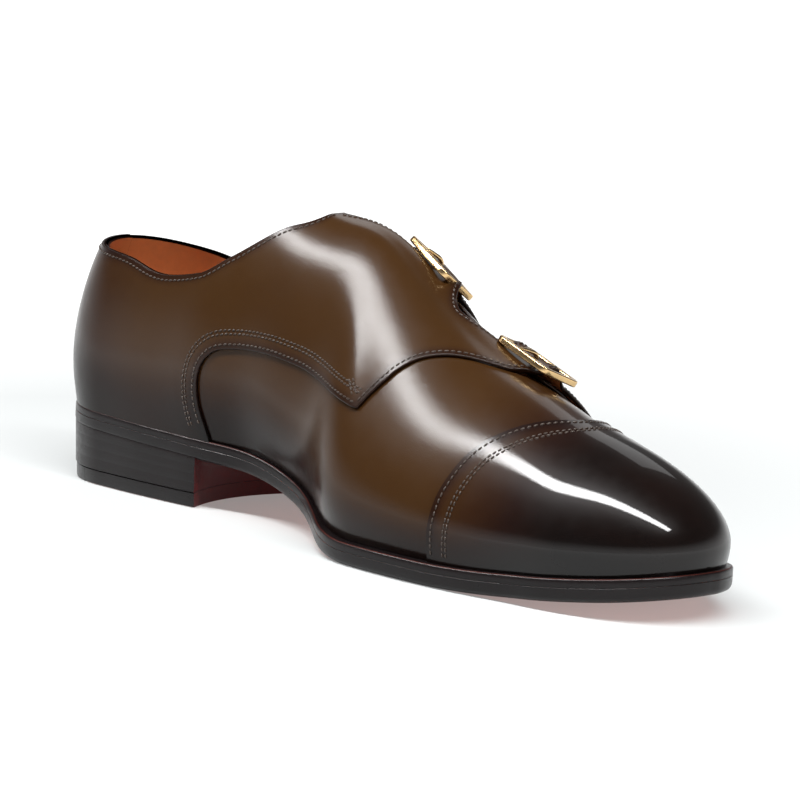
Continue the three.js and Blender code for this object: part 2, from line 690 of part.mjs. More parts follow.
// The hollow curve of the heel's front
function aheadOfBreast() {
  const halfWidth = 0.46 * heelWidth;
  const radius = (halfWidth ** 2 + breastHollow ** 2) / (2 * breastHollow);
  const round = new THREE.CylinderGeometry(radius, radius, 4 * heelRise, 96);
  round.rotateX(Math.PI / 2);
  round.translate(spine(heelStart), breastShare * soleLength - breastHollow + radius, 0);
  return solidOf(round);
}

function heelStackPiece() {
  const low = () => topPieceThickness + clearance;
  const high = (y) => soleUnder(y) - clearance;
  const taper = heelTaper * (1 - topPieceThickness / heelRise);
  return heelBody(low, high, taper, 0.2).subtract(aheadOfBreast());
}

// The slanted line between the leather and the rubber of the top piece
const splitShare = 0.117; // where it crosses the middle
const splitTurn = THREE.MathUtils.degToRad(-18);

function behindSplit(margin) {
  const block = new THREE.BoxGeometry(4 * heelWidth, 2 * heelWidth, 4 * heelRise);
  block.translate(0, -heelWidth - margin, 0);
  block.rotateZ(splitTurn);
  block.translate(spine(heelStart), splitShare * soleLength, 0);
  return solidOf(block);
}

function topPieceBody() {
  const flat = (height) => () => height;
  return heelBody(flat(0), flat(topPieceThickness), heelTaper + 0.3, heelTaper).subtract(aheadOfBreast());
}

const recessLength = 34;
const recessWidth = 10;
const recessDepth = 0.8;

// A shallow long recess in the rubber, along the slanted line
function rubberRecess() {
  const half = (recessLength - recessWidth) / 2;
  const outline = new THREE.Shape();
  outline.absarc(half, 0, recessWidth / 2, -Math.PI / 2, Math.PI / 2, false);
  outline.absarc(-half, 0, recessWidth / 2, Math.PI / 2, 1.5 * Math.PI, false);
  const round = new THREE.ExtrudeGeometry(outline, { depth: 2 * recessDepth, bevelEnabled: false, curveSegments: 8 });
  round.translate(0, -0.26 * heelWidth, -recessDepth);
  round.rotateZ(splitTurn);
  round.translate(spine(heelStart), splitShare * soleLength, 0);
  return solidOf(round);
}

// Buckles

const buckleLength = 27; // along the shoe
const buckleWidth = 19; // along the strap
const buckleBar = 2.6;
const buckleThickness = 1.8;
const buckleCorner = 4;
const buckleBevel = 0.5;
const buckleSeat = 5; // from the buckle's near edge to where it lies on the strap
const nearEdge = 5; // from the ridge to the buckle's near edge
const prongWidth = 2.2;
const prongThickness = 1.4;

// Each buckle's middle along the shoe, and how far the flat frame stands off the curved strap
const buckleRows = [
  { name: "front", share: 0.68, lift: 1.1 },
  { name: "rear", share: 0.52, lift: 0.5 },
];

// Where a buckle lies: its x runs down the strap, its y back along the shoe, its z out of the strap
function buckleFrame({ share, lift }) {
  const place = along(share);
  const step = 0.005;
  let level = 1;
  let walked = 0;
  while (walked < nearEdge + buckleSeat) {
    walked += onLast(lateral, place, level).distanceTo(onLast(lateral, place, level - step));
    level -= step;
  }
  const out = outward(lateral, place, level);
  const backward = new THREE.Vector3(0, -1, 0);
  backward.addScaledVector(out, -backward.dot(out)).normalize();
  const down = backward.clone().cross(out);
  const strapTop = clearance + overQuarter + overlayThickness;
  const origin = overLast(lateral, place, level, strapTop + lift);
  return new THREE.Matrix4().makeBasis(down, backward, out).setPosition(origin);
}

function roundedOutline(path, left, right, half, corner) {
  path.moveTo(left + corner, -half);
  path.absarc(right - corner, -half + corner, corner, -Math.PI / 2, 0, false);
  path.absarc(right - corner, half - corner, corner, 0, Math.PI / 2, false);
  path.absarc(left + corner, half - corner, corner, Math.PI / 2, Math.PI, false);
  path.absarc(left + corner, -half + corner, corner, Math.PI, 1.5 * Math.PI, false);
  return path;
}

// A flat brass frame with a bar across its middle
function bucklePiece(row) {
  const left = -buckleSeat;
  const right = buckleWidth - buckleSeat;
  const middle = (left + right) / 2;
  const half = buckleLength / 2;
  const draw = buckleBevel; // the bevel grows the outline back to its size
  const outline = roundedOutline(new THREE.Shape(), left + draw, right - draw, half - draw, buckleCorner - draw);
  const inside = buckleCorner - buckleBar + draw;
  const gapHalf = half - buckleBar + draw;
  const bar = buckleBar / 2 - draw;
  const near = roundedOutline(new THREE.Path(), left + buckleBar - draw, middle - bar, gapHalf, inside);
  const far = roundedOutline(new THREE.Path(), middle + bar, right - buckleBar + draw, gapHalf, inside);
  outline.holes.push(near, far);
  const frame = new THREE.ExtrudeGeometry(outline, {
    depth: buckleThickness - 2 * draw,
    bevelThickness: draw,
    bevelSize: draw,
    bevelSegments: 1,
    curveSegments: 3,
  });
  frame.translate(0, 0, draw);
  return solidOf(frame.applyMatrix4(buckleFrame(row)));
}

// The prong, which lies from the middle bar over the near one
function prongPiece(row) {
  const from = (buckleWidth - buckleBar) / 2 - buckleSeat;
  const to = -buckleSeat - prongThickness / 2;
  const low = buckleThickness + clearance;
  const profile = new THREE.Shape();
  profile.moveTo(to, low);
  profile.lineTo(from + buckleBar, low);
  profile.absarc(from + buckleBar, low + prongThickness / 2, prongThickness / 2, -Math.PI / 2, Math.PI / 2, false);
  profile.lineTo(to + prongThickness, low + prongThickness);
  profile.lineTo(to, low + prongThickness / 2);
  const prong = new THREE.ExtrudeGeometry(profile, { depth: prongWidth, bevelEnabled: false, curveSegments: 6 });
  prong.rotateX(Math.PI / 2);
  prong.translate(0, prongWidth / 2, 0);
  return solidOf(prong.applyMatrix4(buckleFrame(row)));
}

function addMesh(group, name, solid, colour, roughness, metalness) {
  const material = new THREE.MeshStandardMaterial({ color: colour, roughness, metalness });
  const mesh = new THREE.Mesh(geometryOf(solid), material);
  mesh.name = name;
  group.add(mesh);
}

const shoe = new THREE.Group();
addMesh(shoe, "outsole", outsolePiece(), 0xd95f1e, 0.35, 0);
addMesh(shoe, "welt", weltPiece(), 0x1d1512, 0.4, 0);
addMesh(shoe, "insole", insolePiece(), 0xa5622f, 0.6, 0);
addMesh(shoe, "heel_stack", heelStackPiece(), 0x1a1311, 0.35, 0);
addMesh(shoe, "heel_leather", topPieceBody().subtract(behindSplit(-clearance / 2)), 0xe2683c, 0.4, 0);
addMesh(
  shoe,
  "heel_rubber",
  topPieceBody().intersect(behindSplit(clearance / 2)).subtract(rubberRecess()),
  0x252326,
  0.6,
  0,
);
addMesh(shoe, "upper", upperPiece(), 0x4a3524, 0.3, 0);
addMesh(shoe, "tongue", tonguePiece(), 0x3a2a1e, 0.35, 0);
addMesh(shoe, "toe_cap", toeCapPiece(), 0x3f2c1e, 0.25, 0);
addMesh(shoe, "medial_quarter", medialQuarterPiece(), 0x503a28, 0.3, 0);
addMesh(shoe, "lateral_quarter", lateralQuarterPiece(), 0x4c3626, 0.3, 0);
for (const row of buckleRows) {
  addMesh(shoe, `${row.name}_buckle`, bucklePiece(row), 0xc9a06a, 0.25, 1);
  addMesh(shoe, `${row.name}_prong`, prongPiece(row), 0xc9a06a, 0.25, 1);
}

const originShare = 0.14; // the middle of the heel's floor contact
shoe.position.set(-spine(heelStart), -originShare * soleLength, 0);
export default shoe;
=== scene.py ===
# A left double monk strap shoe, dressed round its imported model.
# Tables and sizes are in millimetres, as the part's own; meshes are in metres.

import math

import bmesh
import bpy
import numpy as np
from mathutils import Matrix, Vector
from mathutils.geometry import delaunay_2d_cdt


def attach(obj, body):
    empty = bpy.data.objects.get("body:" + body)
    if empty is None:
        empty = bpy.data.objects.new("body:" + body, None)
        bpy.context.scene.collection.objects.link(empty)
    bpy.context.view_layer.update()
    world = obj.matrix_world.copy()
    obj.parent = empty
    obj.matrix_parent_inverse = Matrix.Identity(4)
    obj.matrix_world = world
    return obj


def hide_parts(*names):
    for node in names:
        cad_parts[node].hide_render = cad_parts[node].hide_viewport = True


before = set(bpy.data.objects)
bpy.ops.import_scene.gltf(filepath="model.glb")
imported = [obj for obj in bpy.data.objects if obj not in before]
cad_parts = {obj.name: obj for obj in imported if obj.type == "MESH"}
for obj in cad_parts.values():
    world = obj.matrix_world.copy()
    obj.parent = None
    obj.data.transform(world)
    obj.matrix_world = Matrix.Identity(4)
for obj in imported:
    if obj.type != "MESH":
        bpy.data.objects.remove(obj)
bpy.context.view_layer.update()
print("frame loaded")

# The last's sizes

last = {
    "soleLength": 300,
    "ballWidth": 106,
    "waistWidth": 56,
    "heelWidth": 67,
    "heelRise": 21,
    "breastRise": 17.5,
    "toeSpring": 8.5,
    "outsole": 4.6,
    "welt": 2.6,
    "weltMargin": 3.6,
    "seatMargin": 1.6,
    "instep": 105,
    "toe": 49.5,
    "cone": 112,
    "back": 90,
    "ankle": 80,
    "wall": 1.8,
    "overlay": 1.2,
    "gap": 0.3,
}
soleLength = last["soleLength"]
ballWidth = last["ballWidth"]
waistWidth = last["waistWidth"]
heelWidth = last["heelWidth"]
toeCentre = 0.85
heelCentre = 0.113
footLevels = 0.2
seatLift = last["outsole"] + last["welt"] + 2 * last["gap"]
overVamp = 0.03  # underside of a piece sewn on the upper
strapTop = 2 * (last["gap"] + last["overlay"])


# Places run from 0 at the tip of the toe to 3 at the back of the heel, on both sides
def toe(degrees):
    return 1 - degrees / 90


def along(share):
    return 1 + (toeCentre - share) / (toeCentre - heelCentre)


def heel(degrees):
    return 2 + degrees / 90


# How far round the shoe's side a place lies, so that lines run on smoothly into the fans
toeSpan = math.pi / 2 * 0.36 * ballWidth
straightSpan = (toeCentre - heelCentre) * soleLength
heelSpan = math.pi / 2 * 0.5 * heelWidth


def spanOf(place):
    return np.interp(place, [0, 1, 2, 3], np.cumsum([0, toeSpan, straightSpan, heelSpan]))


def asItIs(share):
    return share


fairing = 7.0  # length over which the last's lines are evened out


def lineThrough(rows, column=1, spread=spanOf, evenEnds=False):
    at = spread(np.array([row[0] for row in rows], float))
    value = np.array([row[column] for row in rows], float)
    slope = np.diff(value) / np.diff(at)
    product = slope[:-1] * slope[1:]
    total = np.where(product > 0, slope[:-1] + slope[1:], 1)
    inner = np.where(product > 0, 2 * product / total, 0)
    tangent = np.concatenate([[slope[0]], inner, [slope[-1]]])

    def drawn(x):
        x = np.clip(x, at[0], at[-1])
        i = np.clip(np.searchsorted(at, x, side="right") - 1, 0, len(at) - 2)
        width = at[i + 1] - at[i]
        s = (x - at[i]) / width
        bend = s * (1 - s) * ((1 - s) * tangent[i] - s * tangent[i + 1]) * width
        return value[i] + (value[i + 1] - value[i]) * (3 - 2 * s) * s * s + bend

    if spread is not spanOf:
        return drawn
    # the drawn line is averaged over a short length, so that gloss runs over it without a ripple
    fine = np.linspace(at[0], at[-1], 1201)
    step = fine[1] - fine[0]
    reach = int(3 * fairing / step) + 1
    weights = np.exp(-0.5 * (np.arange(-reach, reach + 1) * step / fairing) ** 2)
    values = drawn(fine)
    if evenEnds:
        padded = np.pad(values, reach, mode="reflect")
    else:
        padded = np.pad(values, reach, mode="reflect", reflect_type="odd")
    faired = np.convolve(padded, weights / weights.sum(), mode="valid")
    slopes = np.gradient(faired, fine)

    def line(place):
        x = np.clip(spread(place), at[0], at[-1])
        i = np.clip(((x - at[0]) / step).astype(int), 0, len(fine) - 2)
        s = (x - fine[i]) / step
        bend = s * (1 - s) * ((1 - s) * (slopes[i] * step - faired[i + 1] + faired[i])
                              - s * (slopes[i + 1] * step - faired[i + 1] + faired[i]))
        return faired[i] + (faired[i + 1] - faired[i]) * s + bend

    return line


spine = lineThrough([
    (along(toeCentre), 0.0613 * ballWidth),
    (along(0.743), 0.0434 * ballWidth),
    (along(0.653), 0.0283 * ballWidth),
    (along(0.573), 0.0189 * ballWidth),
    (along(0.49), 0.0075 * ballWidth),
    (along(0.403), -0.0094 * ballWidth),
    (along(0.3), -0.02 * ballWidth),
    (along(heelCentre), -0.0236 * ballWidth),
])

# The sole's edge: place, reach on the medial side, reach on the lateral side
edgeRows = [
    (toe(90), 0.15 * soleLength, 0.15 * soleLength),
    (toe(76), 0.145 * soleLength, 0.1475 * soleLength),
    (toe(61), 0.139 * soleLength, 0.136 * soleLength),
    (toe(42), 0.1285 * soleLength, 0.1235 * soleLength),
    (toe(20), 0.335 * ballWidth, 0.348 * ballWidth),
    (toe(0), 0.338 * ballWidth, 0.387 * ballWidth),
    (along(0.793), 0.377 * ballWidth, 0.453 * ballWidth),
    (along(0.743), 0.409 * ballWidth, 0.508 * ballWidth),
    (along(0.7), 0.427 * ballWidth, 0.538 * ballWidth),
    (along(0.653), 0.438 * ballWidth, 0.555 * ballWidth),
    (along(0.613), 0.44 * ballWidth, 0.556 * ballWidth),
    (along(0.573), 0.433 * ballWidth, 0.536 * ballWidth),
    (along(0.533), 0.71 * waistWidth, 0.905 * waistWidth),
    (along(0.49), 0.545 * waistWidth, 0.754 * waistWidth),
    (along(0.447), 0.455 * waistWidth, 0.66 * waistWidth),
    (along(0.403), 0.434 * waistWidth, 0.607 * waistWidth),
    (along(0.363), 0.43 * waistWidth, 0.564 * waistWidth),
    (along(0.327), 0.46 * waistWidth, 0.545 * waistWidth),
    (along(0.29), 0.465 * heelWidth, 0.488 * heelWidth),
    (along(0.25), 0.475 * heelWidth, 0.492 * heelWidth),
    (along(0.17), 0.5 * heelWidth, 0.498 * heelWidth),
    (heel(0), 0.5 * heelWidth, 0.495 * heelWidth),
    (heel(50), 0.506 * heelWidth, 0.502 * heelWidth),
    (heel(90), heelCentre * soleLength, heelCentre * soleLength),
]
edgeMedial = lineThrough(edgeRows, 1, evenEnds=True)
edgeLateral = lineThrough(edgeRows, 2, evenEnds=True)

underside = lineThrough([
    (0, last["heelRise"]),
    (0.2, 0.3 * last["heelRise"] + 0.7 * last["breastRise"]),
    (0.28, last["breastRise"]),
    (0.34, 0.91 * last["breastRise"]),
    (0.39, 0.77 * last["breastRise"]),
    (0.44, 0.55 * last["breastRise"]),
    (0.5, 0.25 * last["breastRise"]),
    (0.55, 0.08 * last["breastRise"]),
    (0.6, 0),
    (0.72, 0),
    (0.77, 0.05 * last["toeSpring"]),
    (0.84, 0.24 * last["toeSpring"]),
    (0.92, 0.58 * last["toeSpring"]),
    (1, last["toeSpring"]),
], 1, asItIs)

ridge = lineThrough([
    (along(toeCentre), last["toe"]),
    (along(0.8), 0.79 * last["toe"] + 0.134 * last["instep"]),
    (along(0.733), 0.5 * last["toe"] + 0.34 * last["instep"]),
    (along(0.667), 0.635 * last["instep"]),
    (along(0.6), 0.74 * last["instep"]),
    (along(0.533), 0.876 * last["instep"]),
    (along(0.467), 0.984 * last["instep"]),
    (along(0.41), last["instep"]),
    (along(0.35), 0.4 * last["instep"] + 0.6 * last["cone"]),
    (along(0.3), last["cone"]),
    (along(heelCentre), last["cone"]),
])

# Sections of the last: place, inset, out, rise, side, crown
margin = last["weltMargin"]
seat = last["seatMargin"]
medialRows = [
    (toe(90), margin, 0.8, 6, 0.4, 0.56),
    (toe(45), margin, 1, 7, 0.36, 0.57),
    (toe(0), margin, 1, 8, 0.28, 0.55),
    (along(0.74), margin, 1.5, 10, 0.3, 0.5),
    (along(0.65), margin, 2.5, 12, 0.33, 0.45),
    (along(0.58), margin, 3, 14, 0.35, 0.4),
    (along(0.5), 0.7 * margin, 4, 18, 0.35, 0.4),
    (along(0.4), seat, 7, 22, 0.4, 0.45),
    (along(0.3), seat, 4, 22, 0.4, 0.5),
    (along(0.2), seat, 1.5, 19, 0.4, 0.55),
    (heel(0), seat, 1.5, 18, 0.4, 0.55),
    (heel(90), seat, 3, 18, 0.4, 0.6),
]
lateralRows = [
    (toe(90), margin, 0.8, 6, 0.4, 0.56),
    (toe(45), margin, 1, 7, 0.36, 0.57),
    (toe(0), margin, 1, 8, 0.26, 0.52),
    (along(0.74), margin, 1.5, 9, 0.26, 0.45),
    (along(0.65), margin, 2, 10, 0.27, 0.4),
    (along(0.58), margin, 2.5, 11, 0.28, 0.38),
    (along(0.5), 0.8 * margin, 3, 14, 0.32, 0.4),
    (along(0.4), seat, 3, 18, 0.36, 0.45),
    (along(0.3), seat, 2, 20, 0.4, 0.5),
    (along(0.2), seat, 1.2, 19, 0.4, 0.55),
    (heel(0), seat, 1.5, 18, 0.4, 0.55),
    (heel(90), seat, 3, 18, 0.4, 0.6),
]
sectionMedial = [lineThrough(medialRows, column, evenEnds=True) for column in range(1, 6)]
sectionLateral = [lineThrough(lateralRows, column, evenEnds=True) for column in range(1, 6)]

# The topline: share of the length, height on the medial side, on the lateral side
ankle = last["ankle"]
toplineRows = [
    (0, last["back"], last["back"]),
    (0.06, 0.96 * last["back"], 0.95 * last["back"]),
    (0.13, 0.4 * last["back"] + 0.6 * ankle, 0.3 * last["back"] + 0.68 * ankle),
    (0.2, ankle, 0.96 * ankle),
    (0.26, 0.9 * ankle + 0.1 * last["instep"], 0.92 * ankle + 0.05 * last["instep"]),
    (0.3, 0.62 * ankle + 0.38 * last["instep"], 0.7 * ankle + 0.28 * last["instep"]),
    (0.355, 0.17 * ankle + 0.83 * last["instep"], 0.22 * ankle + 0.77 * last["instep"]),
    (0.39, last["instep"], 0.995 * last["instep"]),
    (0.405, last["cone"] + 8, last["cone"] + 8),
]
toplineMedial = lineThrough(toplineRows, 1, asItIs)
toplineLateral = lineThrough(toplineRows, 2, asItIs)


def edgeReach(side, place):
    return np.where(side > 0, edgeMedial(place), edgeLateral(place))


def onRay(side, place, reach, z):
    turn = np.where(place < 1, 1 - place, np.where(place > 2, 2 - place, 0)) * math.pi / 2
    straight = np.clip(place, 1, 2)
    y = soleLength * (toeCentre - (straight - 1) * (toeCentre - heelCentre))
    x = spine(straight) + side * reach * np.cos(turn)
    return np.stack([x, y + reach * np.sin(turn), z + 0 * x], axis=-1)


def soleUnder(y):
    return underside(y / soleLength)


toeFall = (ridge(1.01) - ridge(1)) / (0.01 * (toeCentre - heelCentre) * soleLength)


# A point on the last. Girth is 1 at the medial foot, 0 on the ridge and -1 at the lateral foot.
def onLast(place, girth):
    place = np.asarray(place, float)
    girth = np.asarray(girth, float)
    side = np.where(girth < 0, -1.0, 1.0)
    level = 1 - np.abs(girth)
    inset, out, rise, wall, crown = [
        np.where(side > 0, m(place), l(place)) for m, l in zip(sectionMedial, sectionLateral)
    ]
    foot = edgeReach(side, place) - inset
    low = soleUnder(onRay(side, place, foot, 0)[..., 1]) + seatLift
    t = level / footLevels
    lowReach = foot + out * np.sin(t * math.pi / 2)
    lowZ = low + rise * t
    widest = foot + out
    s = (level - footLevels) / (1 - footLevels)
    top = ridge(place)
    shoulder = 3 * s**2 * (1 - s)
    crowned = widest * crown * shoulder
    highReach = widest * ((1 - s) ** 3 + 3 * s * (1 - s) ** 2) + crowned
    climb = 3 * s * (1 - s) ** 2 * wall + shoulder + s**3
    forward = np.where(place < 1, np.sin((1 - place) * math.pi / 2), 0)
    base = low + rise
    fall = toeFall * forward * ((1 - forward) * highReach * climb + forward * crowned)
    highZ = base + (top - base) * climb - fall
    under = level < footLevels
    return onRay(side, place, np.where(under, lowReach, highReach), np.where(under, lowZ, highZ))


def unit(v):
    return v / np.maximum(np.linalg.norm(v, axis=-1, keepdims=True), 1e-12)


# The way out of the last at a point of it
def outward(place, girth):
    step = 0.004
    place = np.asarray(place, float)
    girth = np.asarray(girth, float)
    side = np.where(girth < 0, -1.0, 1.0)
    level = 1 - np.abs(girth)
    ahead = onLast(np.maximum(place - step, 0), girth)
    behind = onLast(np.minimum(place + step, 3), girth)
    inner = np.minimum(level, 1 - step)
    lower = onLast(place, side * (1 - inner + step))
    upper = onLast(place, side * (1 - inner - step))
    way = np.cross(ahead - behind, upper - lower) * side[..., None]
    atEnd = (place <= 0) | (place >= 3)
    way[..., 0] = np.where(atEnd, 0, way[..., 0])
    straight = np.clip(place, 1, 2)
    front = onLast(np.maximum(straight - step, 1), 0 * girth)
    rear = onLast(np.minimum(straight + step, 2), 0 * girth)
    slope = (front[..., 2] - rear[..., 2]) / (front[..., 1] - rear[..., 1])
    ridgeWay = np.stack([0 * slope, -slope, 1 + 0 * slope], axis=-1)
    return unit(np.where((level > 1 - step)[..., None], ridgeWay, way))


def overLast(place, girth, height):
    return onLast(place, girth) + outward(place, girth) * np.asarray(height, float)[..., None]


# From the part's design sizes to the scene's metres; both shares of the length tell where its origin lies
axisShare = 0.314
originShare = 0.14
origin = np.array([-float(spine(along(axisShare))), -originShare * soleLength, 0.0])


def toScene(points):
    return (np.asarray(points) + origin) * 0.001


print("last ready")

# Meshes


def newObject(name, mesh, materials):
    for material in materials:
        mesh.materials.append(material)
    made = bpy.data.objects.new(name, mesh)
    bpy.context.scene.collection.objects.link(made)
    return made


def meshFrom(name, points, faces, normals=None, slots=None, attributes=None):
    mesh = bpy.data.meshes.new(name)
    mesh.from_pydata([tuple(p) for p in toScene(points)], [], faces)
    mesh.shade_smooth()
    if slots is not None:
        mesh.polygons.foreach_set("material_index", np.asarray(slots, dtype=np.int32))
    for key, values in (attributes or {}).items():
        layer = mesh.attributes.new(key, "FLOAT", "POINT")
        layer.data.foreach_set("value", np.asarray(values, dtype=np.float32))
    if normals is not None:
        mesh.normals_split_custom_set_from_vertices([tuple(n) for n in normals])
    return mesh


# Where two ends of a mesh meet, their points become one
def weld(points, faces, slots, fields, reach=0.02):
    keys = np.round(np.asarray(points) / reach).astype(np.int64)
    _, first, back = np.unique(keys, axis=0, return_index=True, return_inverse=True)
    back = back.reshape(-1)
    kept, keptSlots = [], []
    for face, index in zip(faces, slots):
        corners = []
        for corner in face:
            merged = int(back[corner])
            if not corners or corners[-1] != merged:
                corners.append(merged)
        if len(corners) > 1 and corners[0] == corners[-1]:
            corners.pop()
        if len(set(corners)) > 2 and len(set(corners)) == len(corners):
            kept.append(corners)
            keptSlots.append(index)
    return np.asarray(points)[first], kept, keptSlots, [np.asarray(field)[first] for field in fields]


# Flat lengths of the unrolled last, used only to spread points evenly
placeMarks = [-3, -2, -1, 0, 1, 2, 3]
placeLengths = [-345, -292, -71, 0, 71, 292, 345]
girthLength = 95


def rolledOut(u, v):
    return np.stack([np.interp(u, placeMarks, placeLengths), np.asarray(v) * girthLength], axis=-1)


def inside(points, loop):
    x, y = points[:, 0], points[:, 1]
    hit = np.zeros(len(points), bool)
    for (x0, y0), (x1, y1) in zip(loop, np.roll(loop, -1, axis=0)):
        if y0 == y1:
            continue
        crossing = ((y0 > y) != (y1 > y)) & (x < (x1 - x0) * (y - y0) / (y1 - y0) + x0)
        hit ^= crossing
    return hit


# A smooth line through points, in turn
def curveThrough(points, each=8):
    points = np.asarray(points, float)
    before = np.vstack([2 * points[0] - points[1], points, 2 * points[-1] - points[-2]])
    out = []
    for i in range(1, len(before) - 2):
        a, b, c, d = before[i - 1:i + 3]
        t = np.linspace(0, 1, each, endpoint=False)[:, None]
        m0, m1 = (c - a) / 2, (d - b) / 2
        out.append((2 * t**3 - 3 * t**2 + 1) * b + (t**3 - 2 * t**2 + t) * m0
                   + (3 * t**2 - 2 * t**3) * c + (t**3 - t**2) * m1)
    return np.vstack(out + [points[-1:]])


# Points along a line at an even spacing, in millimetres on the last
def evenLine(line, spacing, pointAt):
    solid = pointAt(line[:, 0], line[:, 1], 0 * line[:, 0])
    steps = np.concatenate([[0], np.cumsum(np.linalg.norm(np.diff(solid, axis=0), axis=1))])
    if steps[-1] < 0.01:
        return line[[0, -1]]
    count = max(int(round(steps[-1] / spacing)), 1)
    at = np.linspace(0, steps[-1], count + 1)
    return np.stack([np.interp(at, steps, line[:, 0]), np.interp(at, steps, line[:, 1])], axis=-1)


# In the folded form u is the place, counted negative on the lateral side, and v the level, so the tip of the
# toe lies inside a piece. In the flat form u is the place and v the girth, so the ridge does.
def foldedPoint(u, v, height):
    side = np.where(u < 0, -1.0, 1.0)
    return overLast(np.abs(u), side * (1 - np.asarray(v)), height)


def flatPoint(u, v, height):
    return overLast(u, v, height)


def foldedWay(u, v):
    side = np.where(u < 0, -1.0, 1.0)
    return outward(np.abs(u), side * (1 - np.asarray(v)))


def surfaceWay(pointAt, wayAt, u, v, heightAt):
    d = 0.003
    lengthwise = pointAt(u + d, v, heightAt(u + d, v)) - pointAt(u - d, v, heightAt(u - d, v))
    across = pointAt(u, v + d, heightAt(u, v + d)) - pointAt(u, v - d, heightAt(u, v - d))
    way = np.cross(lengthwise, across)
    size = np.linalg.norm(way, axis=-1, keepdims=True)
    base = wayAt(u, v)
    way = np.where(size > 1e-6, way / np.maximum(size, 1e-9), base)
    way = np.where(np.sum(way * base, axis=-1, keepdims=True) < 0, -way, way)
    return unit(np.where(np.sum(way * base, axis=-1, keepdims=True) < 0.5, base, way))


# Directions evened out over the neighbours of each point, save at the rim
def softened(ways, faces, rim, rounds):
    corners = np.array(faces)
    first = np.concatenate([corners[:, 0], corners[:, 1], corners[:, 2]])
    second = np.concatenate([corners[:, 1], corners[:, 2], corners[:, 0]])
    for _ in range(rounds):
        total = 3 * ways
        np.add.at(total, first, ways[second])
        np.add.at(total, second, ways[first])
        total = unit(total)
        total[rim] = ways[rim]
        ways = total
    return ways


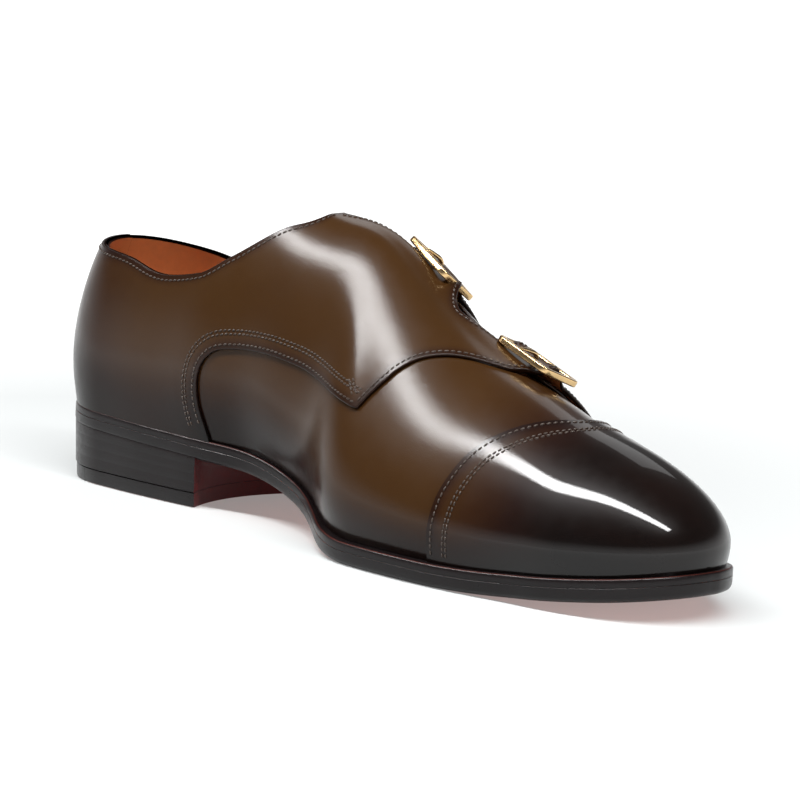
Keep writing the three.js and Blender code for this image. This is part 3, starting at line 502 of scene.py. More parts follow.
# A sheet of leather cut to an outline and laid on the last. Each line of the outline is (points, isSeam);
# a seam has no edge of its own. Returns points, faces, slots and normals, and for each point its distance
# to the edge, its place and its girth.
def cutLeather(lines, heightAt, lowAt, spacing=1.6, rounding=0.45, flat=False, innerSlot=0, evening=0):
    pointAt = flatPoint if flat else foldedPoint
    wayAt = outward if flat else foldedWay
    loop, seams = [], []
    for points, isSeam in lines:
        even = evenLine(np.asarray(points, float), spacing, pointAt)
        loop.append(even[:-1])
        seams.extend([isSeam] * (len(even) - 1))
    loop = np.vstack(loop)
    seams = np.array(seams)
    count = len(loop)
    plan = rolledOut(loop[:, 0], loop[:, 1])
    lowCorner, highCorner = plan.min(0), plan.max(0)
    xs = np.arange(lowCorner[0] + spacing / 2, highCorner[0], spacing)
    ys = np.arange(lowCorner[1] + spacing / 2, highCorner[1], spacing)
    gridX, gridY = np.meshgrid(xs, ys)
    gridX[1::2] += spacing / 2
    grid = np.stack([gridX.ravel(), gridY.ravel()], axis=-1)
    grid = grid[inside(grid, plan)]
    near = np.full(len(grid), 1e9)
    for p, q in zip(plan, np.roll(plan, -1, axis=0)):
        d = q - p
        t = np.clip(((grid - p) @ d) / max(d @ d, 1e-9), 0, 1)
        near = np.minimum(near, np.linalg.norm(grid - p - t[:, None] * d, axis=1))
    grid = grid[near > 0.55 * spacing]
    every = np.vstack([plan, grid])
    edges = [(i, (i + 1) % count) for i in range(count)]
    cut = delaunay_2d_cdt([Vector(p) for p in every], edges, [], 1, 1e-5)
    at = np.array([tuple(p) for p in cut[0]])
    u = np.interp(at[:, 0], placeLengths, placeMarks)
    v = at[:, 1] / girthLength
    faces = [tuple(face) for face in cut[2]]
    source = [ids[0] if ids else -1 for ids in cut[3]]
    ring = {index: i for i, index in enumerate(source) if 0 <= index < count}
    order = [ring[i] for i in range(count)]
    high = heightAt(u, v)
    top = pointAt(u, v, high)
    ways = surfaceWay(pointAt, wayAt, u, v, heightAt)
    low = pointAt(u, v, lowAt(u, v))
    # the rounded edge
    rim = np.array(order)
    ways = softened(ways, faces, rim, evening)
    after = np.roll(top[rim], -1, axis=0)
    before = np.roll(top[rim], 1, axis=0)
    run = unit(after - before)
    inward = unit(np.cross(ways[rim], run))
    onward = np.roll(plan, -1, axis=0)
    area = (plan[:, 0] * onward[:, 1] - plan[:, 1] * onward[:, 0]).sum()
    if area < 0:
        inward = -inward
    edgeSeam = seams & np.roll(seams, 1)
    halfSeam = seams ^ np.roll(seams, 1)
    inward[halfSeam, 0] = 0
    inward = unit(inward)
    depth = np.where(edgeSeam, 0, rounding)[:, None]
    rings = []
    for degrees in (0, 40, 90):
        a = math.radians(degrees)
        spot = top[rim] + inward * depth * (1 - math.sin(a)) - ways[rim] * depth * (1 - math.cos(a))
        way = unit(ways[rim] * math.cos(a) - inward * math.sin(a) * (depth > 0))
        rings.append((spot, way))
    points = [top.copy()]
    points[0][rim] = rings[0][0]
    normals = [ways.copy()]
    total = len(top)
    ringStart = []
    for spot, way in rings[1:]:
        ringStart.append(total)
        points.append(spot)
        normals.append(way)
        total += count
    lowStart = total
    points.append(low)
    normals.append(-ways)
    total += len(low)
    lowRing = total
    points.append(low[rim])
    normals.append(np.where(depth > 0, -inward, ways[rim]))
    total += count
    allFaces = [list(face) for face in faces]
    slots = [0] * len(faces)
    # the outer faces look out of the last
    sample = np.array(faces[:400])
    turned = np.cross(top[sample[:, 1]] - top[sample[:, 0]], top[sample[:, 2]] - top[sample[:, 0]])
    looksOut = np.sum(turned * ways[sample[:, 0]]) >= 0
    if not looksOut:
        allFaces = [face[::-1] for face in allFaces]
    for face in list(allFaces):
        allFaces.append([lowStart + corner for corner in face[::-1]])
        slots.append(innerSlot)
    strips = [rim] + [start + np.arange(count) for start in (*ringStart, lowRing)]
    flip = (area > 0) == looksOut
    for a, b in zip(strips[:-1], strips[1:]):
        for i in range(count):
            if seams[i]:
                continue
            j = (i + 1) % count
            face = [int(a[i]), int(b[i]), int(b[j]), int(a[j])]
            allFaces.append(face if flip else face[::-1])
            slots.append(0)
    places = np.abs(u)
    girths = v if flat else np.where(u < 0, -1.0, 1.0) * (1 - v)
    edgeAt = np.full(len(u), 1e9)
    ringPoints = top[rim]
    for i in range(count):
        if seams[i]:
            continue
        p, q = ringPoints[i], ringPoints[(i + 1) % count]
        d = q - p
        t = np.clip(((top - p) @ d) / max(d @ d, 1e-9), 0, 1)
        edgeAt = np.minimum(edgeAt, np.linalg.norm(top - p - t[:, None] * d, axis=1))

    def overAll(values, atRim):
        return np.concatenate([values, atRim, atRim, values, atRim])

    fields = [overAll(edgeAt, 0 * edgeAt[rim]), overAll(places, places[rim]), overAll(girths, girths[rim])]
    return np.vstack(points), allFaces, slots, np.vstack(normals), *fields


print("mesh helpers ready")

# The seams, as share of the length and girth

upperLook = {"spacing": 1.7, "rim": 0.5, "foot": -0.03}
capLook = {"spacing": 1.5, "rim": 0.4, "height": 1.25, "evening": 30, "foot": -0.04}
quarterLook = {"spacing": 1.35, "rim": 0.45, "height": 1.3, "evening": 4, "foot": 1.04, "seam": 0.12}
strapLook = {
    "top": 3.2,
    "thick": 1.6,
    "rise": 0.08,
    "hump": 2.8,
    "humpHalf": 6.6,
    "humpAt": 4.5,
    "humpFrom": 14,
    "humpTo": 20,
}

fineLevels = np.linspace(footLevels, 1, 241)  # levels tried to find where the last meets the topline


def toplineGirth(side, place):
    points = onLast(np.full(fineLevels.shape, place), side * (1 - fineLevels))
    lines = toplineMedial if side > 0 else toplineLateral
    over = points[:, 2] - lines(points[:, 1] / soleLength)
    return side * (1 - float(np.interp(0, over, fineLevels)))


# The collar starts where the topline crosses the ridge
shares = np.linspace(0.36, 0.405, 4001)
collarPlace = along(float(shares[np.argmax(toplineMedial(shares) > ridge(along(shares)))]))
collarPlaces = collarPlace + (3 - collarPlace) * np.linspace(0, 1, 260) ** 2
toplineOn = {}
for side in (1, -1):
    girths = np.array([toplineGirth(side, place) for place in collarPlaces])
    girths[0] = 0
    toplineOn[side] = np.stack([collarPlaces, girths], axis=-1)
heelSeam = 3 - quarterLook["seam"] / (math.pi / 2 * heelCentre * soleLength)
underFoot = quarterLook["foot"]


def rowsToFlat(rows):
    return np.array([(along(share), girth) for girth, share in rows])


def toFolded(line):
    line = np.asarray(line)
    return np.stack([line[:, 0] * np.where(line[:, 1] < 0, -1, 1), 1 - np.abs(line[:, 1])], axis=-1)


# Each seam: rows of girth and share of the length, from the medial foot up and over
quarterEdge = curveThrough(rowsToFlat([
    (1.04, 0.302), (0.96, 0.297), (0.89, 0.291), (0.82, 0.289), (0.76, 0.292), (0.72, 0.3), (0.69, 0.315),
    (0.665, 0.35), (0.64, 0.393), (0.62, 0.43), (0.595, 0.467), (0.565, 0.51), (0.535, 0.55), (0.519, 0.572),
]))
strapEdge = curveThrough(rowsToFlat([
    (0.508, 0.58), (0.47, 0.585), (0.38, 0.597), (0.33, 0.603), (0.25, 0.616), (0.16, 0.637), (0.09, 0.658),
    (0.04, 0.676), (0, 0.688), (-0.05, 0.698), (-0.12, 0.708), (-0.2, 0.711), (-0.32, 0.711), (-0.42, 0.709),
    (-0.449, 0.705), (-0.463, 0.696), (-0.467, 0.68), (-0.463, 0.664), (-0.449, 0.655), (-0.42, 0.652),
    (-0.32, 0.65), (-0.2, 0.648), (-0.12, 0.635), (-0.075, 0.613), (-0.056, 0.6), (-0.05, 0.593),
    (-0.056, 0.586), (-0.075, 0.577), (-0.12, 0.56), (-0.2, 0.553), (-0.32, 0.55), (-0.42, 0.546),
    (-0.449, 0.541), (-0.463, 0.532), (-0.467, 0.516), (-0.463, 0.498), (-0.449, 0.489), (-0.42, 0.485),
    (-0.32, 0.488), (-0.2, 0.486), (-0.12, 0.464), (-0.075, 0.425), (-0.045, 0.4),
]))
lateralEdge = curveThrough(rowsToFlat([
    (-1.04, 0.318), (-0.9, 0.308), (-0.8, 0.308), (-0.72, 0.32), (-0.67, 0.345), (-0.64, 0.385),
    (-0.61, 0.44), (-0.57, 0.5), (-0.52, 0.56), (-0.48, 0.61), (-0.43, 0.66), (-0.37, 0.69),
    (-0.3, 0.704), (-0.22, 0.708), (-0.16, 0.7), (-0.15, 0.68),
]))
capEdge = curveThrough(rowsToFlat([
    (1.04, 0.7215), (0.92, 0.7225), (0.74, 0.7235), (0.59, 0.7265), (0.42, 0.739), (0.28, 0.7615),
    (0.16, 0.784), (0.08, 0.799), (0.02, 0.8065), (-0.03, 0.808), (-0.08, 0.806), (-0.14, 0.799),
    (-0.25, 0.78), (-0.38, 0.753), (-0.5, 0.734), (-0.62, 0.724), (-0.8, 0.7205), (-1.04, 0.72),
]))


def evenHeight(height):
    return lambda u, v: np.full(np.shape(u), float(height))


# Each buckle: share of the length, and how far its flat frame stands off the strap
buckleRows = {
    "front": {"share": 0.68, "lift": 1.1},
    "rear": {"share": 0.52, "lift": 0.5},
}
buckleLook = {"length": 27, "width": 19, "seat": 5, "nearEdge": 5}


# Where a buckle lies, walked from the ridge down the lateral side, and its ways down, backward and out
def buckleFrame(row):
    place = along(row["share"])
    level, walked, step = 1.0, 0.0, 0.005
    while walked < buckleLook["nearEdge"] + buckleLook["seat"]:
        walked += float(np.linalg.norm(onLast(place, -(1 - level)) - onLast(place, -(1 - level + step))))
        level -= step
    out = outward(np.array([place]), np.array([-(1 - level)]))[0]
    backward = np.array([0.0, -1.0, 0.0])
    backward = unit(backward - (backward @ out) * out)
    down = np.cross(backward, out)
    spot = overLast(np.array([place]), np.array([-(1 - level)]), strapTop + row["lift"])[0]
    return spot, down, backward, out


frames = {name: buckleFrame(row) for name, row in buckleRows.items()}
humps = {name: strapLook["hump"] + row["lift"] for name, row in buckleRows.items()}


def softStep(x, start, end):
    t = np.clip((np.asarray(x, float) - start) / (end - start), 0, 1)
    return t * t * (3 - 2 * t)


# The strap lies on the quarter beyond the ridge and humps over each buckle's middle bar
def strapHeight(u, v):
    u = np.asarray(u, float)
    v = np.asarray(v, float)
    risen = softStep(-v, 0, strapLook["rise"])
    base = quarterLook["height"] + (strapLook["top"] - quarterLook["height"]) * risen
    flat = onLast(u, v)
    for name, (spot, down, backward, out) in frames.items():
        across = (flat - spot) @ down
        lengthwise = (flat - spot) @ backward
        near = np.clip((across - strapLook["humpAt"]) / strapLook["humpHalf"], -1, 1)
        hump = 0.5 * (1 + np.cos(math.pi * near))
        ends = 1 - softStep(np.abs(lengthwise), strapLook["humpFrom"], strapLook["humpTo"])
        base = base + humps[name] * hump * ends * risen
    return base


def strapUnder(u, v):
    under = strapHeight(u, v) - strapLook["thick"]
    laid = np.clip(-np.asarray(v) / strapLook["rise"], 0, 1)
    return overVamp * (1 - laid) + under * laid


def leatherPiece(name, parts, node, materials, fields=True):
    points, faces, slots, ways, edgeAt, places, girths = parts
    points, faces, slots, kept = weld(points, faces, slots, [ways, edgeAt, places, girths])
    ways, edgeAt, places, girths = kept
    attributes = {"edge": edgeAt, **antique(points, places, girths, edgeAt)} if fields else {}
    mesh = meshFrom(name, points, faces, ways, slots, attributes)
    piece = newObject(name, mesh, materials)
    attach(piece, "root")
    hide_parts(node)
    return piece


# Hand-burnished depth of colour: 0 is the open olive brown, 1 is near black
burnishLook = {
    "toe": 0.95,
    "toeFrom": 205,
    "toeTo": 266,
    "foot": 0.75,
    "footFrom": 0.02,
    "footTo": 0.32,
    "heel": 0.7,
    "heelFrom": 8,
    "heelTo": 62,
    "heelFade": 0.35,
    "fadeFrom": 40,
    "fadeTo": 85,
    "edge": 0.55,
    "edgeFrom": 0.4,
    "edgeTo": 5.0,
    "polishFrom": 208,
    "polishTo": 250,
}


def antique(points, places, girths, edgeAt):
    look = burnishLook
    y = points[:, 1]
    z = points[:, 2]
    level = 1 - np.abs(girths)
    toeDark = look["toe"] * softStep(y, look["toeFrom"], look["toeTo"])
    footDark = look["foot"] * (1 - softStep(level, look["footFrom"], look["footTo"]))
    fade = 1 - look["heelFade"] * softStep(z, look["fadeFrom"], look["fadeTo"])
    heelDark = look["heel"] * (1 - softStep(y, look["heelFrom"], look["heelTo"])) * fade
    edgeDark = look["edge"] * (1 - softStep(edgeAt, look["edgeFrom"], look["edgeTo"]))
    depth = 1 - (1 - toeDark) * (1 - footDark) * (1 - heelDark) * (1 - edgeDark)
    return {"burnish": depth, "polish": softStep(y, look["polishFrom"], look["polishTo"])}


# Materials

finish = {
    "open": (0.034, 0.0142, 0.0036),
    "mid": (0.02, 0.007, 0.0021),
    "deep": (0.0085, 0.0023, 0.0011),
    "black": (0.0016, 0.0009, 0.0008),
    "lining": (0.56, 0.17, 0.05),
    "insole": (0.5, 0.2, 0.085),
    "sole": (0.74, 0.105, 0.008),
    "heelLeather": (0.78, 0.15, 0.05),
    "breast": (0.075, 0.005, 0.006),
    "weltLine": (0.06, 0.009, 0.005),
    "marks": (0.1184, 0.0168, 0.00128),
    "edge": (0.0065, 0.0036, 0.004),
    "rubber": (0.02, 0.0195, 0.021),
    "brass": (0.72, 0.49, 0.24),
    "thread": (0.046, 0.029, 0.02),
    "sheen": 0.08,
    "coat": 0.34,
    "toeCoat": 0.6,
    "coatRough": 0.04,
    "toeRough": 0.02,
    "grain": 0.17,
    "toeGrain": 0.03,
}


def newMaterial(name, colour, rough, metal=0.0):
    material = bpy.data.materials.new(name)
    material.use_nodes = True
    shader = material.node_tree.nodes["Principled BSDF"]
    shader.inputs["Base Color"].default_value = (*colour, 1)
    shader.inputs["Roughness"].default_value = rough
    shader.inputs["Metallic"].default_value = metal
    return material, material.node_tree, shader


def addNode(tree, kind, **values):
    node = tree.nodes.new(kind)
    for key, value in values.items():
        if key in node.inputs:
            node.inputs[key].default_value = value
        else:
            setattr(node, key, value)
    return node


def placed(tree):
    return addNode(tree, "ShaderNodeTexCoord").outputs["Object"]


def noiseOf(tree, scale, detail=3.0, rough=0.5, stretch=None):
    noise = addNode(tree, "ShaderNodeTexNoise", Scale=scale, Detail=detail, Roughness=rough)
    source = placed(tree)
    if stretch is not None:
        mapping = addNode(tree, "ShaderNodeMapping")
        mapping.inputs["Scale"].default_value = stretch
        tree.links.new(source, mapping.inputs["Vector"])
        source = mapping.outputs["Vector"]
    tree.links.new(source, noise.inputs["Vector"])
    return noise.outputs["Fac"]


def ranged(tree, value, low, high, fromLow=0.0, fromHigh=1.0):
    node = addNode(tree, "ShaderNodeMapRange")
    node.inputs["From Min"].default_value = fromLow
    node.inputs["From Max"].default_value = fromHigh
    node.inputs["To Min"].default_value = low
    node.inputs["To Max"].default_value = high
    tree.links.new(value, node.inputs["Value"])
    return node.outputs["Result"]


def combined(tree, operation, first, second):
    node = addNode(tree, "ShaderNodeMath", operation=operation)
    for socket, value in zip(node.inputs, (first, second)):
        if isinstance(value, (int, float)):
            socket.default_value = value
        else:
            tree.links.new(value, socket)
    return node.outputs["Value"]


def rampOf(tree, value, stops):
    node = addNode(tree, "ShaderNodeValToRGB")
    ramp = node.color_ramp
    for index, (position, colour) in enumerate(stops):
        stop = ramp.elements[index] if index < 2 else ramp.elements.new(position)
        stop.position = position
        stop.color = (*colour, 1)
    tree.links.new(value, node.inputs["Fac"])
    return node.outputs["Color"]


def bumpOf(tree, height, strength, distance, shader):
    node = addNode(tree, "ShaderNodeBump", Strength=strength, Distance=distance)
    tree.links.new(height, node.inputs["Height"])
    tree.links.new(node.outputs["Normal"], shader.inputs["Normal"])


def attributeOf(tree, name):
    return addNode(tree, "ShaderNodeAttribute", attribute_name=name).outputs["Fac"]


def darkened(colour, share):
    return tuple(part * share for part in colour)


# Glossy calf: dye worked in by hand, wax polish over it
def calfMaterial(name, shift=0.0, byBurnish=True, coatRough=finish["coatRough"]):
    material, tree, shader = newMaterial(name, finish["mid"], 0.2)
    cloud = ranged(tree, noiseOf(tree, 17.0, 3.0, 0.5), -0.1, 0.1, 0.25, 0.75)
    streak = ranged(tree, noiseOf(tree, 60.0, 3.0, 0.6, (1.0, 0.35, 1.0)), -0.03, 0.03, 0.25, 0.75)
    depth = combined(tree, "ADD", cloud, streak)
    if byBurnish:
        depth = combined(tree, "ADD", depth, attributeOf(tree, "burnish"))
    depth = combined(tree, "ADD", depth, shift)
    colour = rampOf(tree, depth, [
        (0.0, finish["open"]), (1.0, finish["black"]), (0.38, finish["mid"]), (0.68, finish["deep"]),
    ])
    tree.links.new(colour, shader.inputs["Base Color"])
    shine = attributeOf(tree, "polish") if byBurnish else noiseOf(tree, 40.0)
    rough = ranged(tree, noiseOf(tree, 180.0, 5.0, 0.6), 0.28, 0.36, 0.3, 0.7)
    tree.links.new(rough, shader.inputs["Roughness"])
    shader.inputs["Specular IOR Level"].default_value = finish["sheen"]
    tree.links.new(ranged(tree, shine, finish["coat"], finish["toeCoat"]), shader.inputs["Coat Weight"])
    shader.inputs["Coat Roughness"].default_value = coatRough
    grain = combined(tree, "ADD", noiseOf(tree, 2400.0, 4.0, 0.6),
                     combined(tree, "MULTIPLY", noiseOf(tree, 320.0, 3.0, 0.5), 0.8))
    bump = addNode(tree, "ShaderNodeBump", Distance=0.00016)
    tree.links.new(ranged(tree, shine, finish["grain"], finish["toeGrain"]), bump.inputs["Strength"])
    tree.links.new(grain, bump.inputs["Height"])
    for socket in ("Normal", "Coat Normal"):
        tree.links.new(bump.outputs["Normal"], shader.inputs[socket])
    return material


# Plainer leather, rubber and thread: one colour, with a darker share of it worked in
def plainMaterial(name, colourName, share, rough=0.55, grainScale=1600.0, strength=0.25, coat=0.0, sheen=0.5,
                  stretch=None):
    colour = finish[colourName]
    material, tree, shader = newMaterial(name, colour, rough)
    tone = combined(tree, "MULTIPLY", noiseOf(tree, 30.0, 5.0, 0.6), 0.65)
    fine = noiseOf(tree, 420.0, 4.0, 0.6)
    mixed = combined(tree, "ADD", tone, combined(tree, "MULTIPLY", fine, 0.35))
    stops = [(0.3, darkened(colour, share)), (0.7, colour)]
    tree.links.new(rampOf(tree, mixed, stops), shader.inputs["Base Color"])
    tree.links.new(ranged(tree, fine, rough - 0.07, rough + 0.07, 0.3, 0.7), shader.inputs["Roughness"])
    bumpOf(tree, noiseOf(tree, grainScale, 5.0, 0.65, stretch), strength, 0.00015, shader)
    shader.inputs["Specular IOR Level"].default_value = sheen
    if coat:
        shader.inputs["Coat Weight"].default_value = coat
        shader.inputs["Coat Roughness"].default_value = 0.12
    return material


calf = calfMaterial("antiqued calf")
calfStrap = calfMaterial("antiqued calf of the quarters")
calfToe = calfMaterial("mirror-polished calf", coatRough=finish["toeRough"])
# The tongue's calf is darkened all over: partly its own burnish, partly painted shade where it lies in the
# throat under the straps
calfBurnishedAndShaded = calfMaterial("burnished black calf with painted shade", 0.75, False)
lining = plainMaterial("lining leather", "lining", 0.72, 0.6)
insoleLeather = plainMaterial("sock leather", "insole", 0.75, 0.55)
soleLeather = plainMaterial("sole leather", "sole", 0.82, 0.3, 900.0, 0.12, 0.4)
heelPieceLeather = plainMaterial("heel piece leather", "heelLeather", 0.85, 0.36, 900.0, 0.12, 0.25)
breastLeather = plainMaterial("breast leather", "breast", 0.6, 0.4, 700.0, 0.2, 0.08, 0.15)
edgeInk = plainMaterial("waxed edge", "edge", 0.5, 0.34, 500.0, 0.4, 0.14, 0.2, (0.1, 0.1, 3.5))
weltLine = plainMaterial("red line of the welt", "weltLine", 0.6, 0.4, sheen=0.2)
rubber = plainMaterial("heel rubber", "rubber", 0.8, 0.62, 2600.0, 0.4)
thread = plainMaterial("waxed thread", "thread", 0.6, 0.38, 3200.0, 0.5)


def brassMaterial():
    material, tree, shader = newMaterial("brass", finish["brass"], 0.2, 1.0)
    tone = noiseOf(tree, 90.0, 4.0, 0.6)
    stops = [(0.3, darkened(finish["brass"], 0.85)), (0.7, finish["brass"])]
    tree.links.new(rampOf(tree, tone, stops), shader.inputs["Base Color"])
    brushed = noiseOf(tree, 900.0, 4.0, 0.6, (1.0, 0.08, 1.0))
    tree.links.new(ranged(tree, brushed, 0.14, 0.28, 0.3, 0.7), shader.inputs["Roughness"])
    bumpOf(tree, brushed, 0.08, 0.00005, shader)
    return material


brass = brassMaterial()
print("materials ready")

# Upper


def upperOutline():
    medialTop = toFolded(toplineOn[1])
    lateralTop = toFolded(toplineOn[-1])
    lateralTop[:, 0] = -collarPlaces
    medialTop[0, 1] = 1
    lateralTop[0, 1] = 1
    low = upperLook["foot"]
    topMedial, topLateral = medialTop[-1, 1], lateralTop[-1, 1]
    return [
        ([(place, low) for place in np.linspace(-3, 3, 121)], False),
        ([(3, low), (3, topMedial)], True),
        (medialTop[::-1], False),
        ([(collarPlace, 1), (1, 1)], True),
        ([(1, 1), (-1, 1)], True),
        ([(-1, 1), (-collarPlace, 1)], True),
        (lateralTop, False),
        ([(-3, topLateral), (-3, low)], True),
    ]


upperParts = cutLeather(
    upperOutline(), evenHeight(0), evenHeight(-last["wall"]),
    spacing=upperLook["spacing"], rounding=upperLook["rim"], innerSlot=1,
)
upper = leatherPiece("upper_vamp_and_lining", upperParts, "upper", [calf, lining])
print("upper", len(upper.data.polygons))

# Toe cap

capMiddle = int(np.argmin(np.abs(capEdge[:, 1])))
capMedial = toFolded(capEdge[:capMiddle + 1])
capLateral = toFolded(capEdge[capMiddle:])
capRidge = float(np.interp(0, -capEdge[:, 1], capEdge[:, 0]))
capMedial[-1] = (capRidge, 1)
capLateral[0] = (-capRidge, 1)
capFront = [(place, capLook["foot"]) for place in np.linspace(capLateral[-1, 0], capMedial[0, 0], 61)]
capParts = cutLeather(
    [
        (capFront, False),
        (capMedial, False),
        ([(capRidge, 1), (1, 1)], True),
        ([(1, 1), (-1, 1)], True),
        ([(-1, 1), (-capRidge, 1)], True),
        (capLateral, False),
    ],
    evenHeight(capLook["height"]), evenHeight(overVamp),
    spacing=capLook["spacing"], rounding=capLook["rim"], evening=capLook["evening"],
)
cap = leatherPiece("toe_cap_leather", capParts, "toe_cap", [calfToe])
print("toe cap", len(cap.data.polygons))

# Quarters: the medial one carries both straps

medialTopline = toplineOn[1].copy()
keep = medialTopline[:, 0] < heelSeam
medialTopline = np.vstack([medialTopline[keep], [(heelSeam, medialTopline[-1, 1])]])
lateralTopline = toplineOn[-1]
crossing = int(np.argmin(np.abs(lateralTopline[:, 1] - strapEdge[-1, 1])))
medialOutline = [
    (np.vstack([quarterEdge, strapEdge, lateralTopline[1:crossing][::-1]]), False),
    (medialTopline, False),
    ([(heelSeam, medialTopline[-1, 1]), (heelSeam, underFoot)], False),
    ([(place, underFoot) for place in np.linspace(heelSeam, quarterEdge[0, 0], 41)], False),
]
medialParts = cutLeather(
    medialOutline, strapHeight, strapUnder,
    spacing=quarterLook["spacing"], rounding=quarterLook["rim"], flat=True, innerSlot=1,
    evening=quarterLook["evening"],
)
medialQuarter = leatherPiece(
    "medial_quarter_and_straps", medialParts, "medial_quarter", [calfStrap, lining])
print("medial quarter", len(medialQuarter.data.polygons))

lateralStart = int(np.argmin(np.abs(lateralTopline[:, 1] - lateralEdge[-1, 1])))
lateralEnd = lateralTopline[lateralStart:]
lateralEnd = np.vstack([lateralEnd[lateralEnd[:, 0] < heelSeam], [(heelSeam, lateralEnd[-1, 1])]])
lateralOutline = [
    (np.vstack([lateralEdge, lateralEnd[:1]]), False),
    (lateralEnd, False),
    ([(heelSeam, lateralEnd[-1, 1]), (heelSeam, -underFoot)], False),
    ([(place, -underFoot) for place in np.linspace(heelSeam, lateralEdge[0, 0], 41)], False),
]
lateralParts = cutLeather(
    lateralOutline, evenHeight(quarterLook["height"]), evenHeight(overVamp),
    spacing=quarterLook["spacing"], rounding=quarterLook["rim"], flat=True, innerSlot=1,
)
lateralQuarter = leatherPiece(
    "lateral_quarter_leather", lateralParts, "lateral_quarter", [calfStrap, lining])
print("lateral quarter", len(lateralQuarter.data.polygons))

# Tongue

tongueLook = {"under": 2.3, "thick": 1.9, "spacing": 2.0, "rim": 0.6}
tongueRows = curveThrough(rowsToFlat([
    (0.3, 0.43), (0.22, 0.398), (0.12, 0.381), (0, 0.375), (-0.12, 0.381), (-0.22, 0.398),
    (-0.3, 0.43), (-0.3, 0.56), (-0.22, 0.585), (-0.12, 0.6), (0, 0.605), (0.12, 0.6),
    (0.22, 0.585), (0.3, 0.56), (0.3, 0.43),
]))
tongueParts = cutLeather(
    [(tongueRows, False)],
    evenHeight(-tongueLook["under"]), evenHeight(-tongueLook["under"] - tongueLook["thick"]),
    spacing=tongueLook["spacing"], rounding=tongueLook["rim"], flat=True, innerSlot=1,
)
# the tongue's near-black colour is partly burnish and partly painted shade
tongue = leatherPiece("tongue_leather", tongueParts, "tongue", [calfBurnishedAndShaded, lining], False)
print("tongue", len(tongue.data.polygons))

# Sole


# Places evenly spaced round the sole's edge, positive on the medial side
def loopPlaces(count):
    fine = np.linspace(3, -3, 6001)
    reach = edgeReach(fine, np.abs(fine))
    points = onRay(np.sign(fine) + (fine == 0), np.abs(fine), reach, 0)
    steps = np.concatenate([[0], np.cumsum(np.linalg.norm(np.diff(points, axis=0), axis=1))])
    half = np.interp(0, -fine, steps)
    front = np.interp(np.linspace(0, half, count // 2 + 1), steps, fine)
    return np.concatenate([front, -front[-2:0:-1]])


soleLook = {"columns": 320, "across": 14, "border": 2.3}
soleLoop = loopPlaces(soleLook["columns"])
soleSides = np.where(soleLoop < 0, -1.0, 1.0)


def solePoints(inset, height):
    places = np.abs(soleLoop)
    reach = np.maximum(edgeReach(soleSides, places) - inset, 0)
    points = onRay(soleSides, places, reach, 0)
    points[:, 2] = soleUnder(points[:, 1]) + height
    return points


# Quads across the shoe between the two halves of a loop
def bridge(loop, height, start, across, downward):
    count = len(loop)
    half = count // 2
    rows = []
    points = []
    for i in range(1, half):
        left, right = loop[i], loop[count - i]
        row = [i]
        for step in range(1, across):
            share = step / across
            spot = left * (1 - share) + right * share
            spot[2] = soleUnder(spot[1]) + height
            row.append(start + len(points))
            points.append(spot)
        row.append(count - i)
        rows.append(row)
    faces = []
    for a, b in zip(rows[:-1], rows[1:]):
        for j in range(across):
            faces.append([a[j], a[j + 1], b[j + 1], b[j]])
    for row, tip in ((rows[0], 0), (rows[-1], half)):
        for j in range(across):
            face = [row[j], row[j + 1], tip]
            faces.append(face[::-1] if tip == 0 else face)
    if not downward:
        faces = [face[::-1] for face in faces]
    return points, faces


# A layer of the sole from its loops and the heights of its rows: closed below and above, or a ring
def soleLayer(loops, heights, slotsOfRows, flatSlot=0, ring=False, across=soleLook["across"]):
    count = len(soleLoop)
    points = list(np.vstack(loops))
    faces, slots = [], []
    final = len(loops) - 1
    pairs = [(a, a + 1) for a in range(final)]
    if ring:
        pairs.append((final, 0))
    for (a, b), slotIndex in zip(pairs, slotsOfRows):
        for i in range(count):
            j = (i + 1) % count
            faces.append([b * count + i, b * count + j, a * count + j, a * count + i])
            slots.append(slotIndex)
    if not ring:
        for loopIndex, downward in ((0, True), (final, False)):
            more, caps = bridge(loops[loopIndex], heights[loopIndex], len(points), across, downward)
            base = loopIndex * count
            faces.extend([[base + corner if corner < count else corner for corner in face] for face in caps])
            slots.extend([flatSlot] * len(caps))
            points.extend(more)
    return np.array(points), faces, slots


def finishPiece(name, points, faces, slots, materials, nodes, sharp=32):
    mesh = meshFrom(name, points, faces, None, slots)
    fixNormals(mesh)
    mesh.set_sharp_from_angle(angle=math.radians(sharp))
    piece = newObject(name, mesh, materials)
    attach(piece, "root")
    if nodes:
        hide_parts(*nodes)


def fixNormals(mesh):
    work = bmesh.new()
    work.from_mesh(mesh)
    bmesh.ops.remove_doubles(work, verts=work.verts, dist=1e-6)
    bmesh.ops.recalc_face_normals(work, faces=work.faces)
    work.to_mesh(mesh)
    work.free()
    mesh.shade_smooth()


# Rows of inset and height, from the tread up to the welt
outsoleRows = [
    (soleLook["border"], 0), (1.5, 0.08), (0.8, 0.4), (0.3, 1.0), (0.03, 1.8), (0, 3.5), (0, 4.5), (0.1, 4.6),
]
outsoleLoops = [solePoints(inset, height) for inset, height in outsoleRows]
points, faces, slots = soleLayer(outsoleLoops, [row[1] for row in outsoleRows], [1] * 7)
finishPiece("outsole_leather", points, faces, slots, [soleLeather, edgeInk], ["outsole"])

# The welt's rows go up its edge, with the red line near the top, then inward and back
weltLow = last["outsole"] + 0.02
weltHigh = last["outsole"] + last["gap"] + last["welt"]
weltRows = [
    (0.12, weltLow), (0.03, weltLow + 0.1), (0.03, weltLow + 0.8), (0.05, weltHigh - 0.7),
    (0.3, weltHigh - 0.25), (0.6, weltHigh - 0.05), (1.0, weltHigh), (12, weltHigh), (12, weltLow),
]
weltLoops = [solePoints(inset, height) for inset, height in weltRows]
points, faces, slots = soleLayer(weltLoops, [], [0, 0, 0, 0, 1, 0, 0, 0, 0], ring=True)
finishPiece("welt_leather", points, faces, slots, [edgeInk, weltLine], ["welt"])

